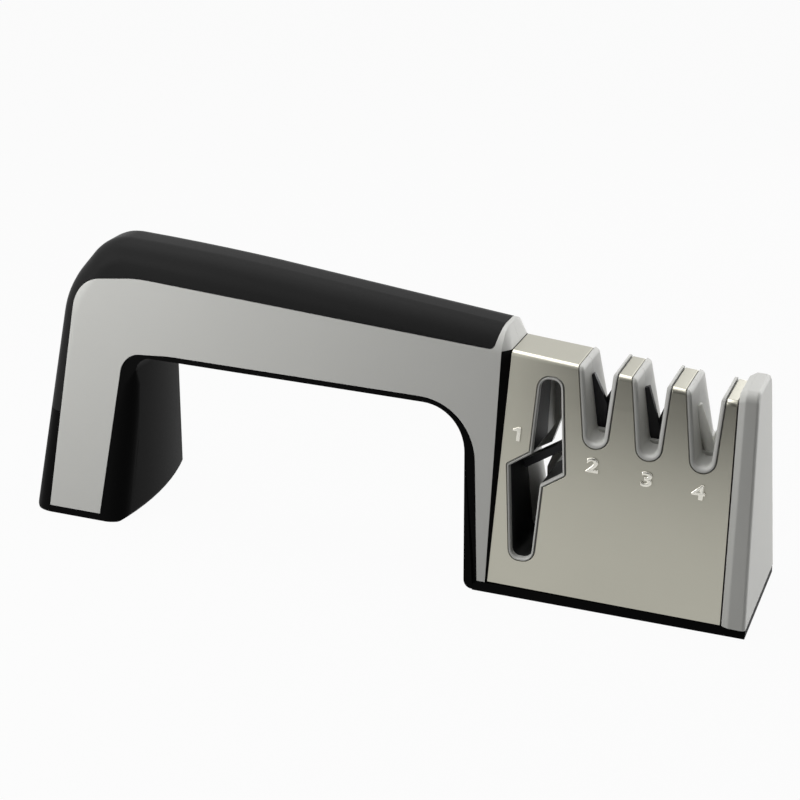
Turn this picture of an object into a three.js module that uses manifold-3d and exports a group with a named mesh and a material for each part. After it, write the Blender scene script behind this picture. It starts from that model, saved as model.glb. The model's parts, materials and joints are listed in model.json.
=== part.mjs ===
// Arch-handled pull-through sharpener: three knife slots and one scissor slot.
// Millimetres, +Z up, x along the length with the sharpening head at +x, front at -y.
// The model is drawn from the seam between handle and head (x = 0) and then centred.
import * as THREE from 'three';
import { mergeVertices } from 'three/addons/utils/BufferGeometryUtils.js';
import Module from 'manifold-3d';

const wasm = await Module();
wasm.setup();

// Clearances
const GAP = 0.3; // between pieces that are cut by or set into each other
const SLIDE_GAP = 0.3; // between the head and the rail that it slides on
const FACE_GAP = 0.1; // from the middle plane to each half of a split moulding

// Handle: a flared, drafted arch
const HANDLE_LENGTH = 140.6; // from the seam back to the heel of the leg
const HANDLE_BASE_HALF = 23; // half width at the table, at the seam
const HANDLE_FLARE = 0.0175; // half width gained per millimetre towards the leg
const HANDLE_DRAFT = 0.183; // half width lost per millimetre of height
const GRIP_TOP = 80.3; // crest of the grip
const GRIP_FALL = 0.0755; // fall of the grip per millimetre towards the head
const GRIP_HEEL_RADIUS = 21; // round of the grip over the back of the leg
const GRIP_EDGE_RADIUS = 5; // rolled edge between grip and sides
const GRIP_WALL = 2.5;
const GRIP_TAIL = 30; // height at which the grip ends on the back of the leg
const HEEL_LEAN = 0.07; // lean of the back of the leg
const LEG_DEPTH = 28.5; // along the length, at the table
const LEG_EDGE = 5; // round of the leg's inner edges at the table
const LEG_EDGE_TOP = 0.8; // and under the arch
const ARCH_HEIGHT = 49.5; // table to the underside of the handle
const ARCH_LEG_RADIUS = 7;
const ARCH_HEAD_RADIUS = 13.5;
const COLUMN_FOOT = 6.2; // depth of the black column at the table
const COLUMN_LEAN = 0.108; // lean of the column's face
const COLUMN_TOE_RADIUS = 2.6;

// Side shells: a panel on each side, with half of the collar
const SHELL_WALL = 2.2;
const SHELL_HEEL_MARGIN = 5.7; // black border behind the panel at the table
const SHELL_HEEL_LEAN = 0.04;
const SHELL_TOE_MARGIN = 6.3; // black border in front of the leg's panel
const SHELL_LEG_LEAN = 0.045;
const SHELL_UNDER_MARGIN = 1.5; // black border under the panel
const SHELL_COLUMN_FOOT = 2.3; // width of the panel at the foot of the column
const SHELL_COLUMN_LEAN = 0.131;
const SHELL_HEAD_RADIUS = 18; // inner corner beside the head
const SHELL_LEG_RADIUS = 9;
const SHELL_HEEL_RADIUS = 15;
const SHELL_TOP_AT_SEAM = 66.2; // upper edge of the panel at the collar
const SHELL_TOP_RISE = 0.0484; // rise of that edge per millimetre towards the leg
const SHELL_FOOT = 2.1;
const COLLAR_SIDE_WIDTH = 5.3; // seen from the side
const COLLAR_CREST_WIDTH = 2.6; // seen from above
const COLLAR_BEVEL = 2.8;
const COLLAR_WALL = 2.8; // closed end towards the head
const PEG_RADIUS = 2;
const FRAME_WEB = 4;
const FRAME_RIM = 3.4; // ledge that the side shells sit on

// Base and pads
const TABLE_CLEARANCE = 0.4; // table to the mouldings, which the pads keep clear
const BASE_TOP = 2.3;
const BASE_INSET = 1.3; // from the end cap's face
const PAD_THICKNESS = 1.2;
const FOOT_PAD = { length: 15, width: 36, corner: 3 };
const BASE_PAD = { length: 12, width: 34, corner: 2.5 };
const PAD_END_DISTANCE = 12; // from the ends of the base to the middle of each pad
const RAIL = { start: 0.6, length: 55, height: 4, foot: 5, head: 6.5 };

// Sharpening head: a drafted block under a folded steel cover
const HEAD_LENGTH = 72.9; // from the seam to the end cap's face at the table
const HEAD_BASE_HALF = 23;
const HEAD_DRAFT = 0.218;
const HEAD_TOP = 66.4; // at the seam
const HEAD_FALL = 0.067;
const CAP_THICKNESS = 7;
const CAP_LEAN = 0.083;
const CAP_JOINT_LEAN = 0.061;
const CAP_PROUD = 1;
const CAP_TOP_PROUD = 3;
const CAP_RADIUS = 1.6;
const CAP_EDGE = 0.7;
const CAP_PEG = { radius: 2, length: 5, height: 36, spread: 6 };
const STEEL = 0.6;
const STEEL_BEND = 1.5;
const STEEL_START = 0.2;
const HOUSING_START = 0.5;

// Knife slots
const SLOT_COUNT = 3;
const SLOT_START = 25.75; // seam to the bottom of the first knife slot
const SLOT_PITCH = 14.87;
const SLOT_BOTTOM = 43.5;
const SLOT_STEP = 0.85; // fall of each slot's bottom
const SLOT_HALF = 3.44; // half width at the bottom
const SLOT_FLARE = 0.105;
const SLOT_LEAN = 0.085;
const SLOT_RADIUS = 3.7;
const LIP_GAP = 0.25; // steel to the plastic lip
const LIP = 1.3; // width of the lip
const LIP_PROUD = 0.4;

// Scissor slot: two lobes, each the other turned half round about the middle
const SCISSOR = { x: 10.1, z: 35.5, half: 2.6, tip: 4.75, shoulder: 8.6, reach: 25.6, step: 4.5, heel: 0.4 };
const SCISSOR_RADIUS = 3.4;
const SCISSOR_NOSE = 0.8;
const LINER_WALL = 1.2;
const LINER_SETBACK = 2.6; // from the head's front to the liner's front edge
const BAR = { thickness: 2.2, depth: 4, length: 17, angle: THREE.MathUtils.degToRad(34) };

// Abrasives
const PLATE_THICKNESS = 1.85;
const PLATE_CROSSING = 0.8;
const PLATE_BITE = 1.6; // how far a plate reaches into the walls of its slot
const PLATE_FOOT = 1.5; // below the slot's bottom
const CARBIDE_PLATE = { valley: 10.6, height: 17, angle: THREE.MathUtils.degToRad(20) };
const DIAMOND_PLATE = { valley: 7.8, height: 16.5, angle: THREE.MathUtils.degToRad(15) };
const ROD = { radius: 1.6, length: 17, crossing: 1.9, angle: THREE.MathUtils.degToRad(22) };
const HOLDER_HEIGHT = 4;
const HOLDER_HALF_DEPTH = 2;

// Screws that hold the two halves of the housing together
const SCREW = { shank: 1.3, head: 2.6, headHeight: 2, seat: 8, height: 20, inset: 4.5 };

const ARC_STEPS = 6;
const ROUND_SIDES = 20;
const FAR = 200; // beyond every face, for cutters

// Materials
const finish = (color, roughness, metalness = 0) =>
  new THREE.MeshStandardMaterial({ color, roughness, metalness });
const BLACK_ABS = finish(0x151515, 0.5);
const BLACK_RUBBER = finish(0x1b1b1b, 0.85);
const SOFT_GRIP = finish(0x2b2b2a, 0.75);
const GREY_ABS = finish(0xb4b4b0, 0.45);
const STAINLESS = finish(0xb3b1a6, 0.35, 1);
const CARBIDE = finish(0x18181a, 0.4, 0.6);
const DIAMOND = finish(0x202022, 0.8, 0.4);
const CERAMIC = finish(0xeeeeea, 0.5);
const ZINC = finish(0x9a9ca0, 0.35, 1);

// Half widths of the handle and of the head
const handleHalf = (x, z) => HANDLE_BASE_HALF - HANDLE_FLARE * x - HANDLE_DRAFT * z;
const headHalf = (x, z) => HEAD_BASE_HALF - HEAD_DRAFT * z;
const headTop = (x) => HEAD_TOP - HEAD_FALL * x;
const capJoint = (z) => HEAD_LENGTH - CAP_THICKNESS - CAP_JOINT_LEAN * z;
const capFace = (z) => HEAD_LENGTH - CAP_LEAN * z;
const gripTop = (x) => GRIP_TOP - GRIP_FALL * (x - GRIP_CREST_X);
const GRIP_CREST_X = GRIP_HEEL_RADIUS - HANDLE_LENGTH + HEEL_LEAN * (GRIP_TOP - GRIP_HEEL_RADIUS);

/** A closed solid for joining and cutting, from a three.js geometry. */
function solid(geometry) {
  geometry.deleteAttribute('normal');
  geometry.deleteAttribute('uv');
  const merged = mergeVertices(geometry, 1e-4);
  return new wasm.Manifold(new wasm.Mesh({
    numProp: 3,
    vertProperties: new Float32Array(merged.attributes.position.array),
    triVerts: new Uint32Array(merged.index.array),
  }));
}

/** A named mesh from a finished solid. */
function piece(name, body, material) {
  const mesh = body.getMesh();
  const geometry = new THREE.BufferGeometry();
  geometry.setAttribute('position', new THREE.BufferAttribute(mesh.vertProperties, 3));
  geometry.setIndex(new THREE.BufferAttribute(mesh.triVerts, 1));
  geometry.computeVertexNormals();
  const result = new THREE.Mesh(geometry, material);
  result.name = name;
  return result;
}

/** Corners [x, z, radius] of an outline, moved out by a distance; counter-clockwise. */
function grow(corners, distance) {
  const at = (i) => new THREE.Vector2(...corners[(i + corners.length) % corners.length]);
  return corners.map(([x, z, radius = 0], i) => {
    const along = at(i).sub(at(i - 1)).normalize();
    const next = at(i + 1).sub(at(i)).normalize();
    const turn = along.cross(next);
    const mitre = distance / (1 + along.dot(next));
    const moved = radius + Math.sign(turn) * distance;
    return [
      x + mitre * (along.y + next.y),
      z - mitre * (along.x + next.x),
      radius > 0 ? Math.max(moved, 0) : 0,
    ];
  });
}

/** A shape through corners [x, z, radius], with each round corner as an arc. */
function outline(corners) {
  const points = [];
  corners.forEach(([x, z, radius = 0], i) => {
    const corner = new THREE.Vector2(x, z);
    if (radius === 0) {
      points.push(corner);
      return;
    }
    const [beforeX, beforeZ] = corners.at(i - 1);
    const [afterX, afterZ] = corners[(i + 1) % corners.length];
    const back = new THREE.Vector2(beforeX, beforeZ).sub(corner).normalize();
    const ahead = new THREE.Vector2(afterX, afterZ).sub(corner).normalize();
    const halfAngle = Math.acos(back.dot(ahead)) / 2;
    const middle = back.clone().add(ahead).normalize();
    const centre = corner.clone().addScaledVector(middle, radius / Math.sin(halfAngle));
    const start = corner.clone().addScaledVector(back, radius / Math.tan(halfAngle)).sub(centre);
    const turn = Math.sign(ahead.cross(back)) * (Math.PI - 2 * halfAngle);
    for (let k = 0; k <= ARC_STEPS; k += 1) {
      const spoke = start.clone().rotateAround(new THREE.Vector2(), (turn * k) / ARC_STEPS);
      points.push(centre.clone().add(spoke));
    }
  });
  return new THREE.Shape(points);
}

/** A solid with this side view, between the faces y = near(x, z) and y = far(x, z). */
function slab(corners, near, far) {
  const geometry = new THREE.ExtrudeGeometry(outline(corners), { depth: 1, bevelEnabled: false });
  const position = geometry.attributes.position;
  for (let i = 0; i < position.count; i += 1) {
    const x = position.getX(i);
    const z = position.getY(i);
    const share = position.getZ(i);
    position.setXYZ(i, x, THREE.MathUtils.lerp(far(x, z), near(x, z), share), z);
  }
  return solid(geometry);
}

const through = (corners) => slab(corners, () => -FAR, () => FAR);
const block = (x0, x1, y0, y1, z0, z1) =>
  slab([[x0, z0], [x1, z0], [x1, z1], [x0, z1]], () => y0, () => y1);

/** A flat plate of rounded rectangle plan, standing on z0. */
function pad(x, z0, thickness, { length, width, corner }, margin = 0) {
  const l = length / 2 + margin;
  const w = width / 2 + margin;
  const shape = outline([[-l, -w, corner], [l, -w, corner], [l, w, corner], [-l, w, corner]]);
  const geometry = new THREE.ExtrudeGeometry(shape, { depth: thickness, bevelEnabled: false });
  return solid(geometry.translate(x, 0, z0));
}

/** A round bar along y, from y0 to y1. */
function crossBar(x, z, radius, y0, y1) {
  const geometry = new THREE.CylinderGeometry(radius, radius, y1 - y0, ROUND_SIDES);
  return solid(geometry.translate(x, (y0 + y1) / 2, z));
}

/** A solid skinned over rings of points that face along x. */
function loft(rings) {
  const count = rings[0].length;
  const last = (rings.length - 1) * count;
  const contour = rings[0].map((p) => new THREE.Vector2(p.y, p.z));
  const index = [];
  for (const [a, b, c] of THREE.ShapeUtils.triangulateShape(contour, [])) {
    index.push(c, b, a, a + last, b + last, c + last);
  }
  for (let start = 0; start < last; start += count) {
    for (let i = 0; i < count; i += 1) {
      const a = start + i;
      const b = start + ((i + 1) % count);
      index.push(a, b, b + count, a, b + count, a + count);
    }
  }
  const geometry = new THREE.BufferGeometry().setFromPoints(rings.flat());
  geometry.setIndex(index);
  return solid(geometry);
}

/** Cross-section with sloping sides and round upper edges; x and half are functions of z. */
function loaf({ x, half, top, radius, bottom }) {
  const side = [];
  side.push([half(bottom), bottom]);
  for (let k = 0; k <= ARC_STEPS; k += 1) {
    const angle = (Math.PI / 2) * (k / ARC_STEPS);
    const z = top - radius + radius * Math.sin(angle);
    side.push([half(z) - radius + radius * Math.cos(angle), z]);
  }
  const mirrored = side.map(([y, z]) => [-y, z]).reverse();
  return [...side, ...mirrored].map(([y, z]) => new THREE.Vector3(x(z), y, z));
}

/** The handle's outer form before the arch is cut, taken in by a distance on top, back and sides. */
function handleForm(inset) {
  const radius = GRIP_EDGE_RADIUS - inset;
  const heel = (z) => -HANDLE_LENGTH + HEEL_LEAN * z + inset;
  const below = -2 * GRIP_EDGE_RADIUS;
  const beyond = 2 * GRIP_EDGE_RADIUS;
  const crown = GRIP_TOP + GRIP_FALL * GRIP_HEEL_RADIUS - inset;
  const shape = outline([
    [heel(below), below],
    [beyond, below],
    [beyond, gripTop(beyond) - inset],
    [heel(crown), crown, GRIP_HEEL_RADIUS - inset],
  ]);
  const geometry = new THREE.ExtrudeGeometry(shape, {
    depth: 1,
    bevelThickness: radius,
    bevelSize: radius,
    bevelOffset: -radius,
    bevelSegments: ARC_STEPS / 2,
  });
  const position = geometry.attributes.position;
  for (let i = 0; i < position.count; i += 1) {
    const x = position.getX(i);
    const z = position.getY(i);
    const layer = position.getZ(i) - 0.5;
    const y = handleHalf(x, z) - inset - (radius + 0.5 - Math.abs(layer));
    position.setXYZ(i, x, -Math.sign(layer) * y, z);
  }
  const end = -FACE_GAP - COLLAR_BEVEL;
  return solid(geometry).intersect(block(-FAR, end, -FAR, FAR, TABLE_CLEARANCE, FAR));
}

/** The bevelled end of the handle, which runs down from the handle's form to the head's. */
function collarEnd() {
  const start = -FACE_GAP - COLLAR_BEVEL;
  const common = { bottom: BASE_TOP + GAP };
  return loft([
    loaf({
      x: () => start,
      half: (z) => handleHalf(start, z),
      top: gripTop(start),
      radius: GRIP_EDGE_RADIUS,
      ...common,
    }),
    loaf({
      x: () => -FACE_GAP,
      half: (z) => headHalf(0, z),
      top: headTop(0),
      radius: STEEL_BEND,
      ...common,
    }),
  ]);
}

// Side views of the handle, as corners [x, z, radius]
const LEG_FACE = LEG_DEPTH - HANDLE_LENGTH;
const columnFace = (z) => -COLUMN_FOOT - COLUMN_LEAN * z;
const shellTop = (x) => SHELL_TOP_AT_SEAM - SHELL_TOP_RISE * x;
const SHELL_UNDER = ARCH_HEIGHT + SHELL_UNDER_MARGIN;
const shellHeel = (z) => -HANDLE_LENGTH + SHELL_HEEL_MARGIN + SHELL_HEEL_LEAN * z;
const shellToe = (z) => LEG_FACE - SHELL_TOE_MARGIN + SHELL_LEG_LEAN * z;
const shellColumn = (z) => -SHELL_COLUMN_FOOT - SHELL_COLUMN_LEAN * z;
const CREST = gripTop(0) + GRIP_EDGE_RADIUS;
const REVEAL_TOP = HEAD_TOP - STEEL_BEND; // the bevel beside the head is the frame's up to here

const ARCH = [
  [LEG_FACE, -FAR],
  [-COLUMN_TOE_RADIUS, -FAR],
  [-COLUMN_TOE_RADIUS, TABLE_CLEARANCE],
  [columnFace(TABLE_CLEARANCE), TABLE_CLEARANCE, COLUMN_TOE_RADIUS],
  [columnFace(ARCH_HEIGHT), ARCH_HEIGHT, ARCH_HEAD_RADIUS],
  [LEG_FACE, ARCH_HEIGHT, ARCH_LEG_RADIUS],
];
const SHELL = [
  [shellHeel(SHELL_FOOT), SHELL_FOOT],
  [shellToe(SHELL_FOOT), SHELL_FOOT],
  [shellToe(SHELL_UNDER), SHELL_UNDER, SHELL_LEG_RADIUS],
  [shellColumn(SHELL_UNDER), SHELL_UNDER, SHELL_HEAD_RADIUS],
  [shellColumn(BASE_TOP + GAP), BASE_TOP + GAP],
  [0, BASE_TOP + GAP],
  [0, CREST],
  [-COLLAR_CREST_WIDTH, CREST],
  [-COLLAR_CREST_WIDTH, gripTop(-COLLAR_CREST_WIDTH)],
  [-COLLAR_SIDE_WIDTH, shellTop(-COLLAR_SIDE_WIDTH)],
  [shellHeel(shellTop(-HANDLE_LENGTH)), shellTop(-HANDLE_LENGTH), SHELL_HEEL_RADIUS],
];
const GRIP = [
  [shellHeel(GRIP_TAIL) - GAP, GRIP_TAIL],
  [shellHeel(shellTop(-HANDLE_LENGTH)) - GAP, shellTop(-HANDLE_LENGTH) + GAP, SHELL_HEEL_RADIUS + GAP],
  [-COLLAR_SIDE_WIDTH - GAP, shellTop(-COLLAR_SIDE_WIDTH) + GAP],
  [-COLLAR_CREST_WIDTH - GAP, gripTop(-COLLAR_CREST_WIDTH)],
  [-COLLAR_CREST_WIDTH - GAP, FAR],
  [-FAR, FAR],
  [-FAR, GRIP_TAIL],
];
const POCKET = [
  [shellHeel(SHELL_FOOT) + FRAME_RIM, SHELL_FOOT + FRAME_RIM],
  [shellToe(SHELL_FOOT) - FRAME_RIM, SHELL_FOOT + FRAME_RIM],
  [shellToe(SHELL_UNDER) - FRAME_RIM, SHELL_UNDER + FRAME_RIM, SHELL_LEG_RADIUS + FRAME_RIM],
  [shellColumn(SHELL_UNDER) - SHELL_HEAD_RADIUS, SHELL_UNDER + FRAME_RIM],
  [shellColumn(SHELL_UNDER) - SHELL_HEAD_RADIUS, shellTop(shellColumn(SHELL_UNDER)) - FRAME_RIM],
  [shellHeel(SHELL_UNDER) + FRAME_RIM, shellTop(shellHeel(SHELL_UNDER)) - FRAME_RIM, SHELL_LEG_RADIUS],
];
const BEAM_MIDDLE = (SHELL_UNDER + shellTop(LEG_FACE)) / 2;
const PEGS = [
  [(shellHeel(BEAM_MIDDLE / 2) + shellToe(BEAM_MIDDLE / 2)) / 2, BEAM_MIDDLE / 2],
  [LEG_FACE, BEAM_MIDDLE],
  [POCKET[3][0] - 3 * PEG_RADIUS, BEAM_MIDDLE],
];

/** The skin of the handle within a side view, down to a wall's thickness. */
const skin = (corners, wall) => through(corners).subtract(handleForm(wall));

/** Rounding of the leg's two inner edges, which narrows towards the arch. */
function legEdgeCutter() {
  // Plan in radii, measured from the sharp edge that is taken away
  const plan = new THREE.Shape()
    .moveTo(0.5, -1)
    .lineTo(0.5, 0.5)
    .lineTo(-1, 0.5)
    .lineTo(-1, 0)
    .absarc(-1, -1, 1, Math.PI / 2, 0, true);
  const geometry = new THREE.ExtrudeGeometry(plan, {
    depth: 1,
    bevelEnabled: false,
    curveSegments: ARC_STEPS,
  });
  const position = geometry.attributes.position;
  for (let i = 0; i < position.count; i += 1) {
    const share = position.getZ(i);
    const z = THREE.MathUtils.lerp(-LEG_EDGE, ARCH_HEIGHT - ARCH_LEG_RADIUS, share);
    const radius = THREE.MathUtils.lerp(LEG_EDGE, LEG_EDGE_TOP, share);
    const x = LEG_FACE + position.getX(i) * radius;
    position.setXYZ(i, x, handleHalf(x, z) + position.getY(i) * radius, z);
  }
  const rear = solid(geometry);
  return rear.add(rear.mirror([0, 1, 0]));
}

/** Dovetail rail on the base that guides the head, or the groove for it. */
function rail(margin, start) {
  const { foot, head, height, length } = RAIL;
  const ring = (x) => [
    [-foot - margin, BASE_TOP - margin - GAP],
    [foot + margin, BASE_TOP - margin - GAP],
    [head + margin, BASE_TOP + height + margin],
    [-head - margin, BASE_TOP + height + margin],
  ].map(([y, z]) => new THREE.Vector3(x, y, z));
  return loft([ring(start), ring(RAIL.start + length + margin)]);
}

const FOOT_PAD_X = LEG_DEPTH / 2 - HANDLE_LENGTH;
const BASE_END = HEAD_LENGTH - BASE_INSET;
const BASE_PADS = [
  ['base_pad_inner', PAD_END_DISTANCE],
  ['base_pad_outer', BASE_END - PAD_END_DISTANCE],
];

/** Black core: leg, hollow beam, column, bulkhead and the base that the head slides on. */
function handleFrame() {
  const base = slab(
    [
      [-COLUMN_FOOT / 2, TABLE_CLEARANCE],
      [BASE_END, TABLE_CLEARANCE],
      [BASE_END, BASE_TOP],
      [-COLUMN_FOOT / 2, BASE_TOP],
    ],
    (x, z) => -headHalf(x, z) + GAP,
    (x, z) => headHalf(x, z) - GAP,
  );
  const bulkhead = collarEnd().intersect(block(-FAR, FAR, -FAR, FAR, -FAR, REVEAL_TOP - GAP));
  const pocketFloor = FRAME_WEB / 2;
  let frame = handleForm(0)
    .subtract(through(ARCH))
    .subtract(legEdgeCutter())
    .subtract(skin(grow(SHELL, GAP), SHELL_WALL + GAP))
    .subtract(skin(GRIP, GRIP_WALL + GAP))
    .subtract(block(-COLLAR_WALL - GAP, FAR, -FAR, FAR, REVEAL_TOP - GAP, FAR))
    .subtract(slab(POCKET, () => -FAR, () => -pocketFloor))
    .subtract(slab(POCKET, () => pocketFloor, () => FAR))
    .add(bulkhead)
    .add(base)
    .add(rail(0, RAIL.start));
  for (const [x, z] of PEGS) {
    frame = frame.subtract(crossBar(x, z, PEG_RADIUS + GAP, -FAR, FAR));
  }
  const recess = PAD_THICKNESS + GAP;
  frame = frame.subtract(pad(FOOT_PAD_X, 0, recess, FOOT_PAD, GAP));
  for (const [, x] of BASE_PADS) {
    frame = frame.subtract(pad(x, 0, recess, BASE_PAD, GAP));
  }
  return frame;
}

/** Soft saddle over the top of the handle and down the back of the leg. */
function gripCover() {
  const inside = grow(GRIP, -GAP / 2);
  return handleForm(0).intersect(through(inside)).subtract(handleForm(GRIP_WALL));
}

/** Front side shell: the panel, its half of the collar and the pegs that hold it. */
function sideShell() {
  const half = block(-FAR, FAR, -FAR, -FACE_GAP, -FAR, FAR);
  const core = handleForm(SHELL_WALL).subtract(block(-COLLAR_WALL, FAR, -FAR, FAR, -FAR, FAR));
  const reveal = block(-FACE_GAP - COLLAR_BEVEL - GAP, FAR, -FAR, FAR, -FAR, REVEAL_TOP);
  let shell = handleForm(0).add(collarEnd()).intersect(through(SHELL)).subtract(core).subtract(reveal);
  for (const [x, z] of PEGS) {
    const root = SHELL_WALL / 2 - handleHalf(x, z);
    shell = shell.add(crossBar(x, z, PEG_RADIUS, root, -GAP));
  }
  return shell.intersect(half);
}

/** A block of the head's form, taken in by a margin, between two planes. */
function headForm({ start, end, margin, radius, bottom }) {
  const ring = (x) => loaf({
    x,
    half: (z) => headHalf(0, z) - margin,
    top: headTop(x(0)) - margin,
    radius,
    bottom,
  });
  return loft([ring(start), ring(end)]);
}

const HEAD_FOOT = BASE_TOP + SLIDE_GAP;

/** Side view of a knife slot where the steel is cut away. */
function slotCorners(i) {
  const x = SLOT_START + SLOT_PITCH * i;
  const z = SLOT_BOTTOM - SLOT_STEP * i;
  const rise = HEAD_TOP;
  const centre = x - SLOT_LEAN * rise;
  const half = SLOT_HALF + SLOT_FLARE * rise;
  return [
    [centre - half, z + rise],
    [x - SLOT_HALF, z, SLOT_RADIUS],
    [x + SLOT_HALF, z, SLOT_RADIUS],
    [centre + half, z + rise],
  ];
}

/** Middle and half width of a knife slot's clear opening at a height above its bottom. */
function slotAt(i, rise) {
  return {
    x: SLOT_START + SLOT_PITCH * i - SLOT_LEAN * rise,
    z: SLOT_BOTTOM - SLOT_STEP * i + rise,
    half: SLOT_HALF + SLOT_FLARE * rise - LIP_GAP - LIP,
  };
}

/** Side view of the scissor slot where the steel is cut away. */
function scissorCorners() {
  const { x, z, half, tip, shoulder, reach, step, heel } = SCISSOR;
  const lobe = [
    [half, -step, 0],
    [shoulder, -heel, SCISSOR_NOSE],
    [tip, reach, SCISSOR_RADIUS],
    [-half, reach, SCISSOR_RADIUS],
  ];
  const turned = lobe.map(([u, v, radius]) => [-u, -v, radius]);
  return [...lobe, ...turned].map(([u, v, radius]) => [x + u, z + v, radius]);
}

const SLOTS = [...Array(SLOT_COUNT).keys()].map(slotCorners);
const CUTOUTS = [scissorCorners(), ...SLOTS];

/** Folded sheet over the front, top and back of the head. */
function steelCover() {
  const span = { start: () => STEEL_START, end: capJoint, bottom: HEAD_FOOT };
  let cover = headForm({ ...span, margin: 0, radius: STEEL_BEND }).subtract(headForm({
    start: () => -1,
    end: () => FAR,
    bottom: -FAR,
    margin: STEEL,
    radius: STEEL_BEND - STEEL,
  }));
  for (const corners of CUTOUTS) {
    cover = cover.subtract(through(corners));
  }
  return cover;
}

const PLATES = [
  ['carbide_plate', CARBIDE_PLATE, CARBIDE],
  ['diamond_plate', DIAMOND_PLATE, DIAMOND],
];

/** Corners of the pocket that a slot's abrasives and their holder sit in. */
function insertPocket(i, height, margin) {
  const mouth = slotAt(i, height);
  const floor = slotAt(i, -PLATE_FOOT - HOLDER_HEIGHT);
  const left = mouth.x - mouth.half - PLATE_BITE;
  const right = mouth.x + mouth.half + PLATE_BITE;
  return grow([[left, floor.z], [right, floor.z], [right, mouth.z], [left, mouth.z]], margin);
}

/** One of a crossed pair of plates; side is -1 for the left one. */
function plate(i, { valley, height, angle }, side) {
  const v = slotAt(i, valley);
  const mouth = slotAt(i, height);
  const base = slotAt(i, -PLATE_FOOT).z;
  const wall = mouth.x + side * (mouth.half + PLATE_BITE);
  const past = v.x - side * PLATE_CROSSING;
  const corners = [
    [past, base],
    [past, v.z - PLATE_CROSSING / Math.tan(angle)],
    [v.x + side * (mouth.z - v.z) * Math.tan(angle), mouth.z],
    [wall, mouth.z],
    [wall, base],
  ];
  const ordered = side < 0 ? corners : corners.reverse();
  const near = side < 0 ? -PLATE_THICKNESS - FACE_GAP : FACE_GAP;
  return slab(ordered, () => near, () => near + PLATE_THICKNESS);
}

// From the rods' crossing down to their lower ends, which stand just clear of the holder
const ROD_BELOW = (ROD.crossing + PLATE_FOOT - ROD.radius * Math.sin(ROD.angle)) / Math.cos(ROD.angle);

/** One of the crossed ceramic rods; side is -1 for the one that leans left. */
function ceramicRod(side, margin) {
  const crossing = slotAt(SLOT_COUNT - 1, ROD.crossing);
  const length = ROD.length + 2 * margin;
  const geometry = new THREE.CylinderGeometry(ROD.radius + margin, ROD.radius + margin, length, ROUND_SIDES);
  geometry.rotateX(Math.PI / 2);
  geometry.translate(0, 0, ROD.length / 2 - ROD_BELOW);
  geometry.rotateY(side * ROD.angle);
  return solid(geometry.translate(crossing.x, side * (ROD.radius + FACE_GAP), crossing.z));
}

/** Block that carries a slot's abrasives from below. */
function insertHolder(i, height) {
  const [[left, floor], [right]] = insertPocket(i, height, 0);
  return block(left, right, -HOLDER_HALF_DEPTH, HOLDER_HALF_DEPTH, floor, floor + HOLDER_HEIGHT - GAP);
}

/** Tungsten bar across the scissor slot. */
function scissorBar(margin) {
  const { thickness, depth, length, angle } = BAR;
  const geometry = new THREE.BoxGeometry(length + 2 * margin, depth + 2 * margin, thickness + 2 * margin);
  geometry.rotateY(-angle);
  return solid(geometry.translate(SCISSOR.x, 0, SCISSOR.z));
}

/** Black liner in the front of the scissor slot, notched for the bar and flush with the bar's back. */
function scissorLiner(margin, hollow) {
  const outer = grow(scissorCorners(), LINER_WALL - LIP_GAP - LIP + margin);
  const front = (x, z) => LINER_SETBACK - margin - headHalf(x, z);
  const body = slab(outer, front, () => BAR.depth / 2 + margin);
  if (!hollow) {
    return body;
  }
  return body.subtract(through(grow(scissorCorners(), -LIP_GAP - LIP))).subtract(scissorBar(GAP / 2));
}

const ROD_POCKET_HEIGHT = ROD.crossing + (ROD.length - ROD_BELOW) * Math.cos(ROD.angle);
const SCREWS = [SLOT_START - SLOT_HALF, capJoint(0) - SCREW.inset - CAP_JOINT_LEAN * SCREW.height];

/** Round-headed screw along y, or the hole for it. */
function housingScrew(x, margin) {
  const { shank, head, headHeight, seat, height } = SCREW;
  const reach = margin > 0 ? FAR : headHeight;
  return crossBar(x, height, shank + margin, -seat - margin, seat + headHeight / 2)
    .add(crossBar(x, height, head + margin, seat - margin, seat + reach));
}

/** Pegs of the end cap, or the holes for them. */
function capPegs(margin) {
  const { radius, length, height, spread } = CAP_PEG;
  const root = capJoint(height) + CAP_THICKNESS / 2;
  const pegs = [-spread, spread].map((y) => {
    const whole = length + CAP_THICKNESS / 2 + margin;
    const geometry = new THREE.CylinderGeometry(radius + margin, radius + margin, whole, ROUND_SIDES);
    geometry.rotateZ(Math.PI / 2);
    return solid(geometry.translate(root - whole / 2, y, height));
  });
  return pegs[0].add(pegs[1]);
}

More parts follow.
